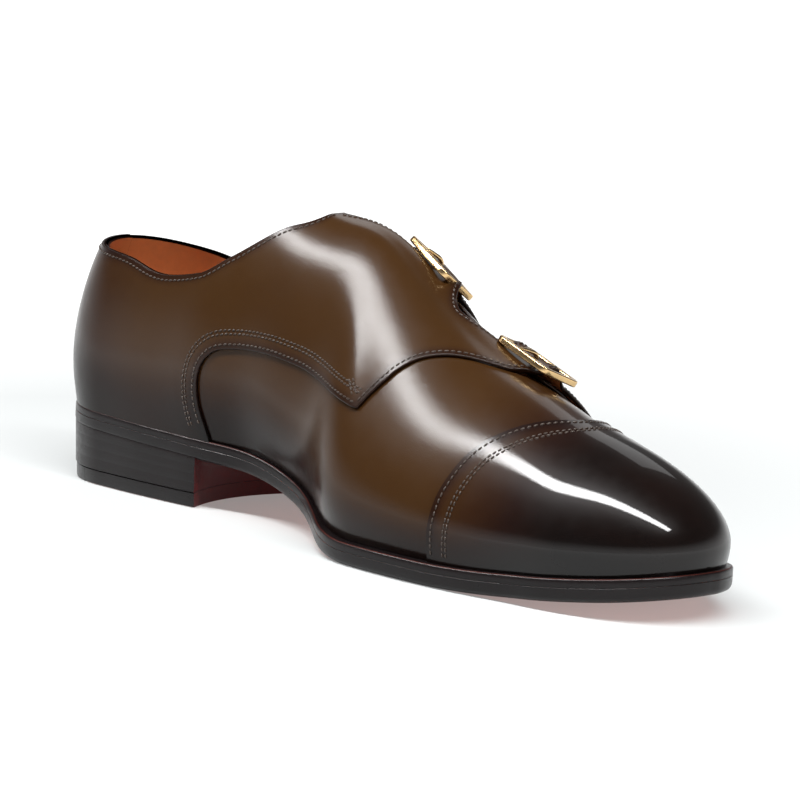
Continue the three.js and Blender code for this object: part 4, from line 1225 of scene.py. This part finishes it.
insoleLook = {"low": 0.1, "high": 3.0, "across": 12}
insoleLow = seatLift + insoleLook["low"]
insoleHigh = seatLift + insoleLook["high"]
insoleRows = [(0.0, insoleLow), (0.0, insoleHigh - 0.8), (0.25, insoleHigh - 0.25), (0.9, insoleHigh)]


# The insole fills the foot of the last within the upper's wall
def insoleInset(extra):
    places = np.abs(soleLoop)
    foot = np.where(soleSides > 0, sectionMedial[0](places), sectionLateral[0](places))
    return foot + (last["wall"] + last["gap"]) + extra


insoleLoops = [solePoints(insoleInset(extra), height) for extra, height in insoleRows]
points, faces, slots = soleLayer(
    insoleLoops, [row[1] for row in insoleRows], [0] * 3, across=insoleLook["across"])
finishPiece("insole_sock", points, faces, slots, [insoleLeather], ["insole"])
print("sole, welt and insole")

# Heel

heelLook = {
    "top": 5.5,
    "taper": 1.2,
    "hollow": 8.5,
    "breast": 0.284,
    "sidePoints": 150,
    "breastPoints": 26,
    "split": 0.117,
    "splitTurn": -18,
    "lifts": (0.27, 0.52, 0.77),
    "grooveDepth": 0.03,
    "grooveHalf": 0.01,
    "overlap": 0.95,
    "nailRise": 0.15,
    "nailRadius": 1.05,
    "nails": ((-31, 77), (-31, 47), (22, 77.5), (25.4, 53.7), (24.6, 29.4)),
}
heelAxis = float(spine(along(heelLook["breast"] + 0.03)))
halfFront = 0.46 * heelWidth
hollow = heelLook["hollow"]
breastRadius = (halfFront**2 + hollow**2) / (2 * hollow)
breastCentre = np.array([heelAxis, heelLook["breast"] * soleLength - hollow + breastRadius])


def evenRun(points, count):
    steps = np.concatenate([[0], np.cumsum(np.linalg.norm(np.diff(points, axis=0), axis=1))])
    at = np.linspace(0, steps[-1], count)
    return np.stack([np.interp(at, steps, points[:, 0]), np.interp(at, steps, points[:, 1])], axis=-1)


# The heel's outline: round the seat from side to side, and then its hollow breast
def heelLoop(inset):
    runs = []
    for side in (1.0, -1.0):
        fine = np.linspace(1.6, 3, 1600)
        points = onRay(side, fine, edgeReach(side, fine) - inset, 0)[:, :2]
        behind = np.linalg.norm(points - breastCentre, axis=1) >= breastRadius
        runs.append(evenRun(points[int(np.argmax(behind)):], heelLook["sidePoints"] // 2 + 1))
    outer = np.vstack([runs[0], runs[1][::-1][1:]])
    start, end = [math.atan2(*(spot - breastCentre)[::-1]) for spot in (outer[-1], outer[0])]
    angles = np.linspace(start, end, heelLook["breastPoints"] + 2)[1:-1]
    breast = breastCentre + breastRadius * np.stack([np.cos(angles), np.sin(angles)], axis=-1)
    return outer, breast


# Stacks loops of the same count of points, each with its heights, and closes both ends
def stackLoops(levels, sideCount, slotSide, slotFront, slotLow, slotHigh):
    count = len(levels[0])
    points = np.vstack(levels)
    faces, slots = [], []
    for a in range(len(levels) - 1):
        for i in range(count):
            j = (i + 1) % count
            faces.append([a * count + i, a * count + j, (a + 1) * count + j, (a + 1) * count + i])
            slots.append(slotSide if i < sideCount - 1 else slotFront)
    faces.append(list(range(count))[::-1])
    slots.append(slotLow)
    base = (len(levels) - 1) * count
    faces.append(list(range(base, base + count)))
    slots.append(slotHigh)
    return points, faces, slots


# The stack's rows: share of its height, and how far the edge is dented; its top follows the sole
def heelStack():
    low = heelLook["top"] + 0.12
    half = heelLook["grooveHalf"]
    depth = heelLook["grooveDepth"]
    rows = [(0.0, 0.2), (0.012, 0.0)]
    for lift in heelLook["lifts"]:
        rows += [(lift - 2 * half, 0), (lift - half, depth), (lift + half, depth), (lift + 2 * half, 0)]
    rows += [(0.985, 0.0), (1.0, 0.12)]
    levels = []
    for share, dent in rows:
        inset = heelLook["taper"] * 0.74 * (1 - share) + 0.2 * share + dent
        outer, breast = heelLoop(inset)
        flat = np.vstack([outer, breast])
        high = soleUnder(flat[:, 1]) + heelLook["overlap"]
        levels.append(np.column_stack([flat, low + (high - low) * share]))
    sideCount = len(heelLoop(0)[0])
    return stackLoops(levels, sideCount, 0, 1, 0, 0)


points, faces, slots = heelStack()
finishPiece(
    "heel_stack_lifts", points, faces, slots, [edgeInk, breastLeather], ["heel_stack"], 40)

splitSpot = np.array([heelAxis, heelLook["split"] * soleLength])
splitTurn = math.radians(heelLook["splitTurn"])
splitWay = np.array([-math.sin(splitTurn), math.cos(splitTurn)])


# The parts of the heel's outline on one side of the slanted line, in turn round it
def splitLoop(inset, front, shrink):
    outer, breast = heelLoop(inset)
    off = (outer - splitSpot) @ splitWay
    ahead = off > shrink if front else off < -shrink
    limit = shrink if front else -shrink

    def cross(i, j):
        share = (limit - off[i]) / (off[j] - off[i])
        return outer[i] + (outer[j] - outer[i]) * share

    if front:
        back = np.where(~ahead)[0]
        first, final = back[0], back[-1]
        medialRun = evenRun(np.vstack([outer[:first], [cross(first - 1, first)]]), 40)
        lateralRun = evenRun(np.vstack([[cross(final, final + 1)], outer[final + 1:]]), 40)
        cut = evenRun(np.vstack([medialRun[-1], lateralRun[0]]), 12)[1:-1]
        return [medialRun, cut, lateralRun, breast]
    kept = np.where(ahead)[0]
    first, final = kept[0], kept[-1]
    ends = [cross(first - 1, first)], [cross(final, final + 1)]
    run = evenRun(np.vstack([ends[0], outer[first:final + 1], ends[1]]), 110)
    cut = evenRun(np.vstack([run[-1], run[0]]), 14)[1:-1]
    return [run, cut]


# One half of the top piece; the leather half stands off the floor by its nails' heads
def heelPiece(front):
    low = heelLook["nailRise"] if front else 0.0
    top = heelLook["top"]
    rows = [(low, 0.5), (low + 0.12, 0.15), (low + 0.45, 0), (top - 0.3, 0), (top, 0.25)]
    levels = []
    for z, dent in rows:
        inset = heelLook["taper"] + 0.3 * (1 - z / top) + dent
        flat = np.vstack(splitLoop(inset, front, 0.05 + 0.5 * dent))
        levels.append(np.column_stack([flat, np.full(len(flat), z)]))
    parts = splitLoop(heelLook["taper"], front, 0.05)
    sideCount = sum(len(part) for part in parts[:3]) if front else len(parts[0])
    return stackLoops(levels, sideCount, 1, 2 if front else 1, 0, 1)


points, faces, slots = heelPiece(True)
finishPiece(
    "heel_piece_leather", points, faces, slots, [heelPieceLeather, edgeInk, breastLeather],
    ["heel_leather"], 40)


# A flat face between an outline and a hole, as triangles that look down
def flatRing(outer, hole):
    flat = np.vstack([outer, hole])
    count = len(outer)
    edges = [(i, (i + 1) % count) for i in range(count)]
    edges += [(count + i, count + (i + 1) % len(hole)) for i in range(len(hole))]
    cut = delaunay_2d_cdt([Vector(p) for p in flat], edges, [], 0, 1e-5)
    source = [ids[0] for ids in cut[3]]
    spots = np.array([tuple(p) for p in cut[0]])
    faces = np.array(cut[2])
    middles = spots[faces].mean(axis=1)
    kept = inside(middles, outer) & ~inside(middles, hole)
    return [[source[corner] for corner in face[::-1]] for face in faces[kept]]


recessLook = {"length": 34, "width": 10, "depth": 0.8, "behind": 0.26 * heelWidth}


# The rubber's lower face gets a long hollow with round ends, beside the slanted cut
def withRecess(points, faces, slots):
    count = sum(len(part) for part in splitLoop(0, False, 0))
    lowFace = next(i for i, face in enumerate(faces) if sorted(face) == list(range(count)))
    del faces[lowFace], slots[lowFace]
    half = (recessLook["length"] - recessLook["width"]) / 2
    radius = recessLook["width"] / 2
    outline = []
    for end, start in ((half, -90), (-half, 90)):
        for step in range(13):
            a = math.radians(start + 15 * step)
            outline.append((end + radius * math.cos(a), radius * math.sin(a)))
    outline = np.array(outline)
    cutWay = np.array([splitWay[1], -splitWay[0]])
    hole = splitSpot - splitWay * recessLook["behind"] + outline[:, :1] * cutWay + outline[:, 1:] * splitWay
    start, around = len(points), len(hole)
    rings = [np.column_stack([hole, np.full(around, z)]) for z in (0, recessLook["depth"])]
    for face in flatRing(points[:count, :2], hole):
        faces.append([corner if corner < count else corner - count + start for corner in face])
        slots.append(0)
    for i in range(around):
        j = (i + 1) % around
        faces.append([start + i, start + j, start + around + j, start + around + i])
        slots.append(0)
    faces.append([start + around + i for i in range(around)])
    slots.append(0)
    return np.vstack([points] + rings), faces, slots


points, faces, slots = withRecess(*heelPiece(False))
finishPiece(
    "heel_piece_rubber", points, faces, slots, [rubber, edgeInk], ["heel_rubber"], 40)
print("heel")

# Buckles, drawn along their own ways: down the shoe, backward and out

buckleShape = {
    "bar": 2.7,
    "thick": 2.3,
    "corner": 3.6,
    "round": 0.5,
    "middleBar": 0.85,
    "middleUp": 0.95,
    "prong": 1.0,
    "prongTaper": 0.35,
    "prongPath": (
        (3.4, 0, 1.7), (2.3, 0, 2.8), (0.6, 0, 3.25), (-1.6, 0, 3.15), (-3.9, 0, 3.0), (-5.6, 0, 2.8),
    ),
}


def roundedBar(width, thick, radius, each=4):
    outline = []
    for cx, cz, start in ((1, 1, 0), (-1, 1, 90), (-1, -1, 180), (1, -1, 270)):
        for step in range(each + 1):
            a = math.radians(start + 90 * step / each)
            outline.append((cx * (width / 2 - radius) + radius * math.cos(a),
                            cz * (thick / 2 - radius) + radius * math.sin(a)))
    return outline


def roundedRectangle(x0, x1, half, corner, each=7):
    path = []
    for cx, cy, start in ((x1 - corner, half - corner, 0), (x0 + corner, half - corner, 90),
                          (x0 + corner, -half + corner, 180), (x1 - corner, -half + corner, 270)):
        for step in range(each + 1):
            a = math.radians(start + 90 * step / each)
            path.append((cx + corner * math.cos(a), cy + corner * math.sin(a)))
    return path


# A section swept along a path. The section's second axis stays close to the given way up.
def sweep(path, section, up, closed=False, scales=None):
    path = np.asarray(path, float)
    count, around = len(path), len(section)
    points, faces = [], []
    for i in range(count):
        if closed:
            run = path[(i + 1) % count] - path[i - 1]
        else:
            run = path[min(i + 1, count - 1)] - path[max(i - 1, 0)]
        run = run / np.linalg.norm(run)
        across = np.cross(run, up)
        across = across / np.linalg.norm(across)
        lift = np.cross(across, run)
        scale = 1 if scales is None else scales[i]
        for a, b in section:
            points.append(path[i] + (across * a + lift * b) * scale)
    for i in range(count if closed else count - 1):
        j = (i + 1) % count
        for k in range(around):
            m = (k + 1) % around
            faces.append([i * around + k, i * around + m, j * around + m, j * around + k])
    if not closed:
        faces.append(list(range(around))[::-1])
        faces.append([(count - 1) * around + k for k in range(around)])
    return np.array(points), faces


def ellipse(width, height, count):
    return [(width * math.cos(a), height * math.sin(a))
            for a in np.linspace(0, 2 * math.pi, count, endpoint=False)]


def joined(parts):
    points, faces = [], []
    total = 0
    for some, more in parts:
        points.append(np.asarray(some))
        faces.extend([[total + corner for corner in face] for face in more])
        total += len(some)
    return np.vstack(points), faces


def inFrame(points, name):
    spot, down, backward, out = frames[name]
    points = np.asarray(points)
    return spot + points[:, :1] * down + points[:, 1:2] * backward + points[:, 2:3] * out


def buckle(name):
    shape = buckleShape
    x0 = -buckleLook["seat"]
    x1 = buckleLook["width"] - buckleLook["seat"]
    half = buckleLook["length"] / 2
    inset = shape["bar"] / 2
    corners = roundedRectangle(x0 + inset, x1 - inset, half - inset, shape["corner"] - inset)
    path = [(x, y, shape["thick"] / 2) for x, y in corners]
    rim = sweep(path, roundedBar(shape["bar"], shape["thick"], shape["round"]), (0, 0, 1), True)
    barPath = [((x0 + x1) / 2, y, shape["middleUp"]) for y in np.linspace(-half + 1.5, half - 1.5, 9)]
    bar = sweep(barPath, ellipse(shape["middleBar"], shape["middleBar"], 12), (0, 0, 1))
    points, faces = joined([rim, bar])
    finishPiece(
        name + "_buckle_frame", inFrame(points, name), faces, [0] * len(faces), [brass],
        [name + "_buckle"], 50)
    path = curveThrough(shape["prongPath"], 5)
    scales = 1 - shape["prongTaper"] * softStep(np.linspace(0, 1, len(path)), 0.35, 1)
    oval = ellipse(1.1 * shape["prong"], 0.75 * shape["prong"], 12)
    points, faces = sweep(path, oval, (0, 0, 1), False, scales)
    finishPiece(
        name + "_buckle_prong", inFrame(points, name), faces, [0] * len(faces), [brass],
        [name + "_prong"], 50)


for name in frames:
    buckle(name)
print("buckles")

# Stitches

# Rows are distances from a seam and pitches; the tack's two bars are rows of girth and share of the length
stitchLook = {
    "pitch": 2.1,
    "fill": 0.74,
    "half": 0.36,
    "sunk": 0.04,
    "slant": 8,
    "capRows": ((1.2, 2.1), (5.8, 1.9), (7.0, 1.9)),
    "quarterRows": ((1.7, 2.1), (5.2, 1.9), (6.5, 1.9)),
    "strapRow": 1.6,
    "toplineRow": 2.0,
    "tackPitch": 1.5,
    "tack": (((0.468, 0.552), (0.492, 0.567)), ((0.456, 0.557), (0.48, 0.572))),
}


# A line on the last moved sideways by a distance
def besideLine(line, distance):
    line = np.asarray(line, float)
    d = 0.004
    u, v = line[:, 0], line[:, 1]
    spot = onLast(u, v)
    alongU = (onLast(u + d, v) - onLast(u - d, v)) / (2 * d)
    alongV = (onLast(u, v + d) - onLast(u, v - d)) / (2 * d)
    run = unit(np.gradient(spot, axis=0))
    side = unit(np.cross(outward(u, v), run)) * distance
    uu = np.sum(alongU * alongU, -1)
    vv = np.sum(alongV * alongV, -1)
    uv = np.sum(alongU * alongV, -1)
    su = np.sum(side * alongU, -1)
    sv = np.sum(side * alongV, -1)
    det = uu * vv - uv * uv
    return np.stack([u + (su * vv - sv * uv) / det, v + (sv * uu - su * uv) / det], axis=-1)


# A short round-ended rod, the shape of a stitch and of a nail's head
def capsule(around=6, rings=5):
    points = [(-1.0, 0.0, 0.0)]
    for ring in range(1, rings):
        a = math.pi * ring / rings
        x = -math.cos(a)
        r = math.sin(a) ** 0.6
        for k in range(around):
            b = 2 * math.pi * k / around
            points.append((x, r * math.cos(b), r * math.sin(b)))
    points.append((1.0, 0.0, 0.0))
    faces = []
    for k in range(around):
        faces.append([0, 1 + (k + 1) % around, 1 + k])
    for ring in range(rings - 2):
        for k in range(around):
            a = 1 + ring * around
            m = (k + 1) % around
            faces.append([a + k, a + m, a + around + m, a + around + k])
    end = len(points) - 1
    base = 1 + (rings - 2) * around
    for k in range(around):
        faces.append([base + k, base + (k + 1) % around, end])
    return np.array(points), faces


capsulePoints, capsuleFaces = capsule()


def stitchRow(line, heightAt, pitch=stitchLook["pitch"]):
    look = stitchLook
    half = look["half"]
    shares = np.linspace(0, 1, 1500)
    fine = np.stack([np.interp(shares, np.linspace(0, 1, len(line)), line[:, i]) for i in (0, 1)], axis=-1)
    spots = overLast(fine[:, 0], fine[:, 1], heightAt(fine[:, 0], fine[:, 1]))
    steps = np.concatenate([[0], np.cumsum(np.linalg.norm(np.diff(spots, axis=0), axis=1))])
    count = max(int(steps[-1] / pitch), 1)
    at = (np.arange(count) + 0.5) * steps[-1] / count
    u = np.interp(at, steps, fine[:, 0])
    v = np.interp(at, steps, fine[:, 1])

    def spotsAt(walked):
        return np.stack([np.interp(walked, steps, spots[:, i]) for i in range(3)], axis=-1)

    run = unit(spotsAt(at + 0.4) - spotsAt(at - 0.4))
    up = outward(u, v)
    up = unit(up - run * np.sum(up * run, -1, keepdims=True))
    side = np.cross(up, run)
    a = math.radians(look["slant"])
    run, side = run * math.cos(a) + side * math.sin(a), side * math.cos(a) - run * math.sin(a)
    length = steps[-1] / count * look["fill"] / 2
    shape = capsulePoints[None] * (length, 0.9 * half, half)
    points = (spotsAt(at) + up * look["sunk"])[:, None, :]
    for axis, way in enumerate((run, side, up)):
        points = points + way[:, None, :] * shape[..., axis:axis + 1]
    starts = [i * len(capsulePoints) for i in range(count)]
    faces = [[start + corner for corner in face] for start in starts for face in capsuleFaces]
    return points.reshape(-1, 3), faces


def stitches(name, rows):
    points, faces = joined(rows)
    piece = newObject(name, meshFrom(name, points, faces), [thread])
    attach(piece, "root")


def seamRows(line, heightAt, rows, side):
    return [stitchRow(besideLine(line, side * off), heightAt, pitch) for off, pitch in rows]


overCap = evenHeight(capLook["height"])
overQuarter = evenHeight(quarterLook["height"])
stitches("toe_cap_stitches", seamRows(capEdge[6:-6], overCap, stitchLook["capRows"], -1))
print("cap stitches")

medialRowsSewn = seamRows(quarterEdge[10:], strapHeight, stitchLook["quarterRows"], 1)
medialRowsSewn.append(stitchRow(besideLine(strapEdge[4:], stitchLook["strapRow"]), strapHeight))
for bar in stitchLook["tack"]:
    medialRowsSewn.append(stitchRow(rowsToFlat(bar), strapHeight, stitchLook["tackPitch"]))
medialTop = besideLine(medialTopline[::-1][8:-2], -stitchLook["toplineRow"])
medialRowsSewn.append(stitchRow(medialTop, strapHeight))
stitches("medial_quarter_stitches", medialRowsSewn)

lateralRowsSewn = seamRows(lateralEdge[10:-10], overQuarter, stitchLook["quarterRows"], -1)
lateralTop = besideLine(lateralEnd[::-1][8:-6], stitchLook["toplineRow"])
lateralRowsSewn.append(stitchRow(lateralTop, overQuarter))
stitches("lateral_quarter_stitches", lateralRowsSewn)
print("stitches")

# Marks pressed in the waist of the sole, and the nails of the heel

markLook = {
    "groove": ((20, 84), (17.5, 106), (17.5, 124), (20.7, 139), (25, 152), (28.4, 158.5)),
    "grooveStar": (30, 161),
    "slots": ((-25, 85), (-25.2, 95), (-25.5, 106.5), (-27.8, 122.6), (-32, 139), (-38.4, 154), (-41.2, 161)),
    "slotStar": (-43, 164),
    "slotPitch": 5.4,
    "slotHalf": 1.7,
    "petals": 7,
    "petalIn": 1.3,
    "petalOut": 3.3,
    "radius": 0.7,
    "fine": 0.36,
    "sunk": 0.8,
}
markPaint = plainMaterial("burnt marks", "marks", 0.625, 0.4)


# A rod along a path over the sole, sunk so that only its lowest part shows
def markRod(path, radius):
    path = np.asarray(path, float)
    spots = np.column_stack([path, soleUnder(path[:, 1]) + radius * markLook["sunk"]])
    return sweep(spots, ellipse(radius, radius, 10), (0, 0, 1))


# Short rods set round a spot, at the end of each pressed line
def star(spot):
    look = markLook
    spot = np.array(spot, float)
    parts = []
    for petal in range(look["petals"]):
        a = 2 * math.pi * petal / look["petals"]
        way = np.array([math.cos(a), math.sin(a)])
        parts.append(markRod([spot + way * look["petalIn"], spot + way * look["petalOut"]], look["radius"]))
    return parts


slotLine = curveThrough(markLook["slots"], 12)
slotSteps = np.concatenate([[0], np.cumsum(np.linalg.norm(np.diff(slotLine, axis=0), axis=1))])
grooveLine = curveThrough(markLook["groove"], 10)
markParts = [markRod(grooveLine, 1.3 * markLook["fine"]), markRod(slotLine, markLook["fine"])]
for middle in np.arange(4, slotSteps[-1] - 2, markLook["slotPitch"]):
    at = middle + np.array([-1, 1]) * markLook["slotHalf"]
    ends = np.stack([np.interp(at, slotSteps, slotLine[:, i]) for i in (0, 1)], axis=-1)
    markParts.append(markRod(ends, markLook["radius"]))
markParts += star(markLook["grooveStar"]) + star(markLook["slotStar"])
points, faces = joined(markParts)
finishPiece("sole_marks", points, faces, [0] * len(faces), [markPaint], [], 60)

nailShape, nailFaces = capsule(12, 8)
nailRise = heelLook["nailRise"]
nailSize = (heelLook["nailRadius"], heelLook["nailRadius"], nailRise)
nailParts = [(np.array([x, y, nailRise]) + nailShape * nailSize, nailFaces) for x, y in heelLook["nails"]]
points, faces = joined(nailParts)
finishPiece("heel_nails", points, faces, [0] * len(faces), [brass], [], 70)
print("sole marks and nails")

# Camera, floor and light

cameraLook = {
    "target": (0.002, 0.128, 0.030),
    "azimuth": 133.2,
    "elevation": 9.6,
    "distance": 0.93,
    "aim": (0.0, 0.112, 0.047),
    "roll": 3.4,
    "lens": 124,
}


# The eye lies off the target; it then looks at the aim
def addCamera():
    a = math.radians(cameraLook["azimuth"])
    e = math.radians(cameraLook["elevation"])
    back = Vector((math.sin(a) * math.cos(e), -math.cos(a) * math.cos(e), math.sin(e)))
    eye = Vector(cameraLook["target"]) + back * cameraLook["distance"]
    back = (eye - Vector(cameraLook["aim"])).normalized()
    right = Vector((0, 0, 1)).cross(back).normalized()
    up = back.cross(right)
    roll = math.radians(cameraLook["roll"])
    sideways = right * math.cos(roll) + up * math.sin(roll)
    upright = up * math.cos(roll) - right * math.sin(roll)
    data = bpy.data.cameras.new("camera")
    data.lens = cameraLook["lens"]
    data.sensor_width = 36
    made = bpy.data.objects.new("camera", data)
    bpy.context.scene.collection.objects.link(made)
    turn = Matrix((sideways, upright, back)).transposed().to_4x4()
    made.matrix_world = Matrix.Translation(eye) @ turn
    bpy.context.scene.camera = made


addCamera()

# The floor glows more with distance, so that it runs on into a white room
studio = {
    "floor": (0.37, 0.385, 0.385),
    "floorHalf": 12,
    "nearGlow": 0.24,
    "farGlow": 1.0,
    "nearReach": 0.2,
    "farReach": 0.7,
    "horizon": 1.1,
    "wall": 0.12,
    "ceiling": 0.1,
}
bpy.context.scene.view_settings.view_transform = "Standard"
floorMesh = bpy.data.meshes.new("floor")
half = studio["floorHalf"]
floorCorners = [(-half, -half, 0), (half, -half, 0), (half, half, 0), (-half, half, 0)]
floorMesh.from_pydata(floorCorners, [], [(0, 1, 2, 3)])
floorPaint, floorTree, floorShader = newMaterial("pale floor", studio["floor"], 0.7)
floorShader.inputs["Emission Color"].default_value = (1, 1, 1, 1)
reach = addNode(floorTree, "ShaderNodeVectorMath", operation="LENGTH")
floorTree.links.new(placed(floorTree), reach.inputs[0])
glow = ranged(floorTree, reach.outputs["Value"], studio["nearGlow"], studio["farGlow"],
              studio["nearReach"], studio["farReach"])
floorTree.links.new(glow, floorShader.inputs["Emission Strength"])
floor = newObject("floor", floorMesh, [floorPaint])

world = bpy.data.worlds.new("studio")
world.use_nodes = True
worldTree = world.node_tree
direction = addNode(worldTree, "ShaderNodeTexCoord").outputs["Generated"]
split = addNode(worldTree, "ShaderNodeSeparateXYZ")
worldTree.links.new(direction, split.inputs["Vector"])
worldTree.links.new(
    rampOf(worldTree, split.outputs["Z"], [
        (0.04, (studio["horizon"],) * 3), (1.0, (studio["ceiling"],) * 3), (0.26, (studio["wall"],) * 3),
    ]),
    worldTree.nodes["Background"].inputs["Color"],
)
bpy.context.scene.world = world


lightLook = {
    "strip softbox": {
        "spot": (0.36, 0.16, 1.0),
        "aim": (0.02, 0.1, 0.03),
        "size": (0.13, 2.3),
        "power": 38,
        "lengthWay": (-0.27, 1, 0),
    },
    "far softbox": {
        "spot": (-0.9, -0.5, 0.9),
        "aim": (0, 0.08, 0.05),
        "size": (0.5, 0.9),
        "power": 1.5,
        "lengthWay": (0, 1, 0),
    },
}


def addLight(name, look):
    data = bpy.data.lights.new(name, "AREA")
    data.shape = "RECTANGLE"
    data.size, data.size_y = look["size"]
    data.energy = look["power"]
    made = bpy.data.objects.new(name, data)
    bpy.context.scene.collection.objects.link(made)
    spot = Vector(look["spot"])
    back = (spot - Vector(look["aim"])).normalized()
    across = Vector(look["lengthWay"]).cross(back).normalized()
    turn = Matrix((across, back.cross(across), back)).transposed().to_4x4()
    made.matrix_world = Matrix.Translation(spot) @ turn


for name, look in lightLook.items():
    addLight(name, look)
print("camera, floor and light ready")
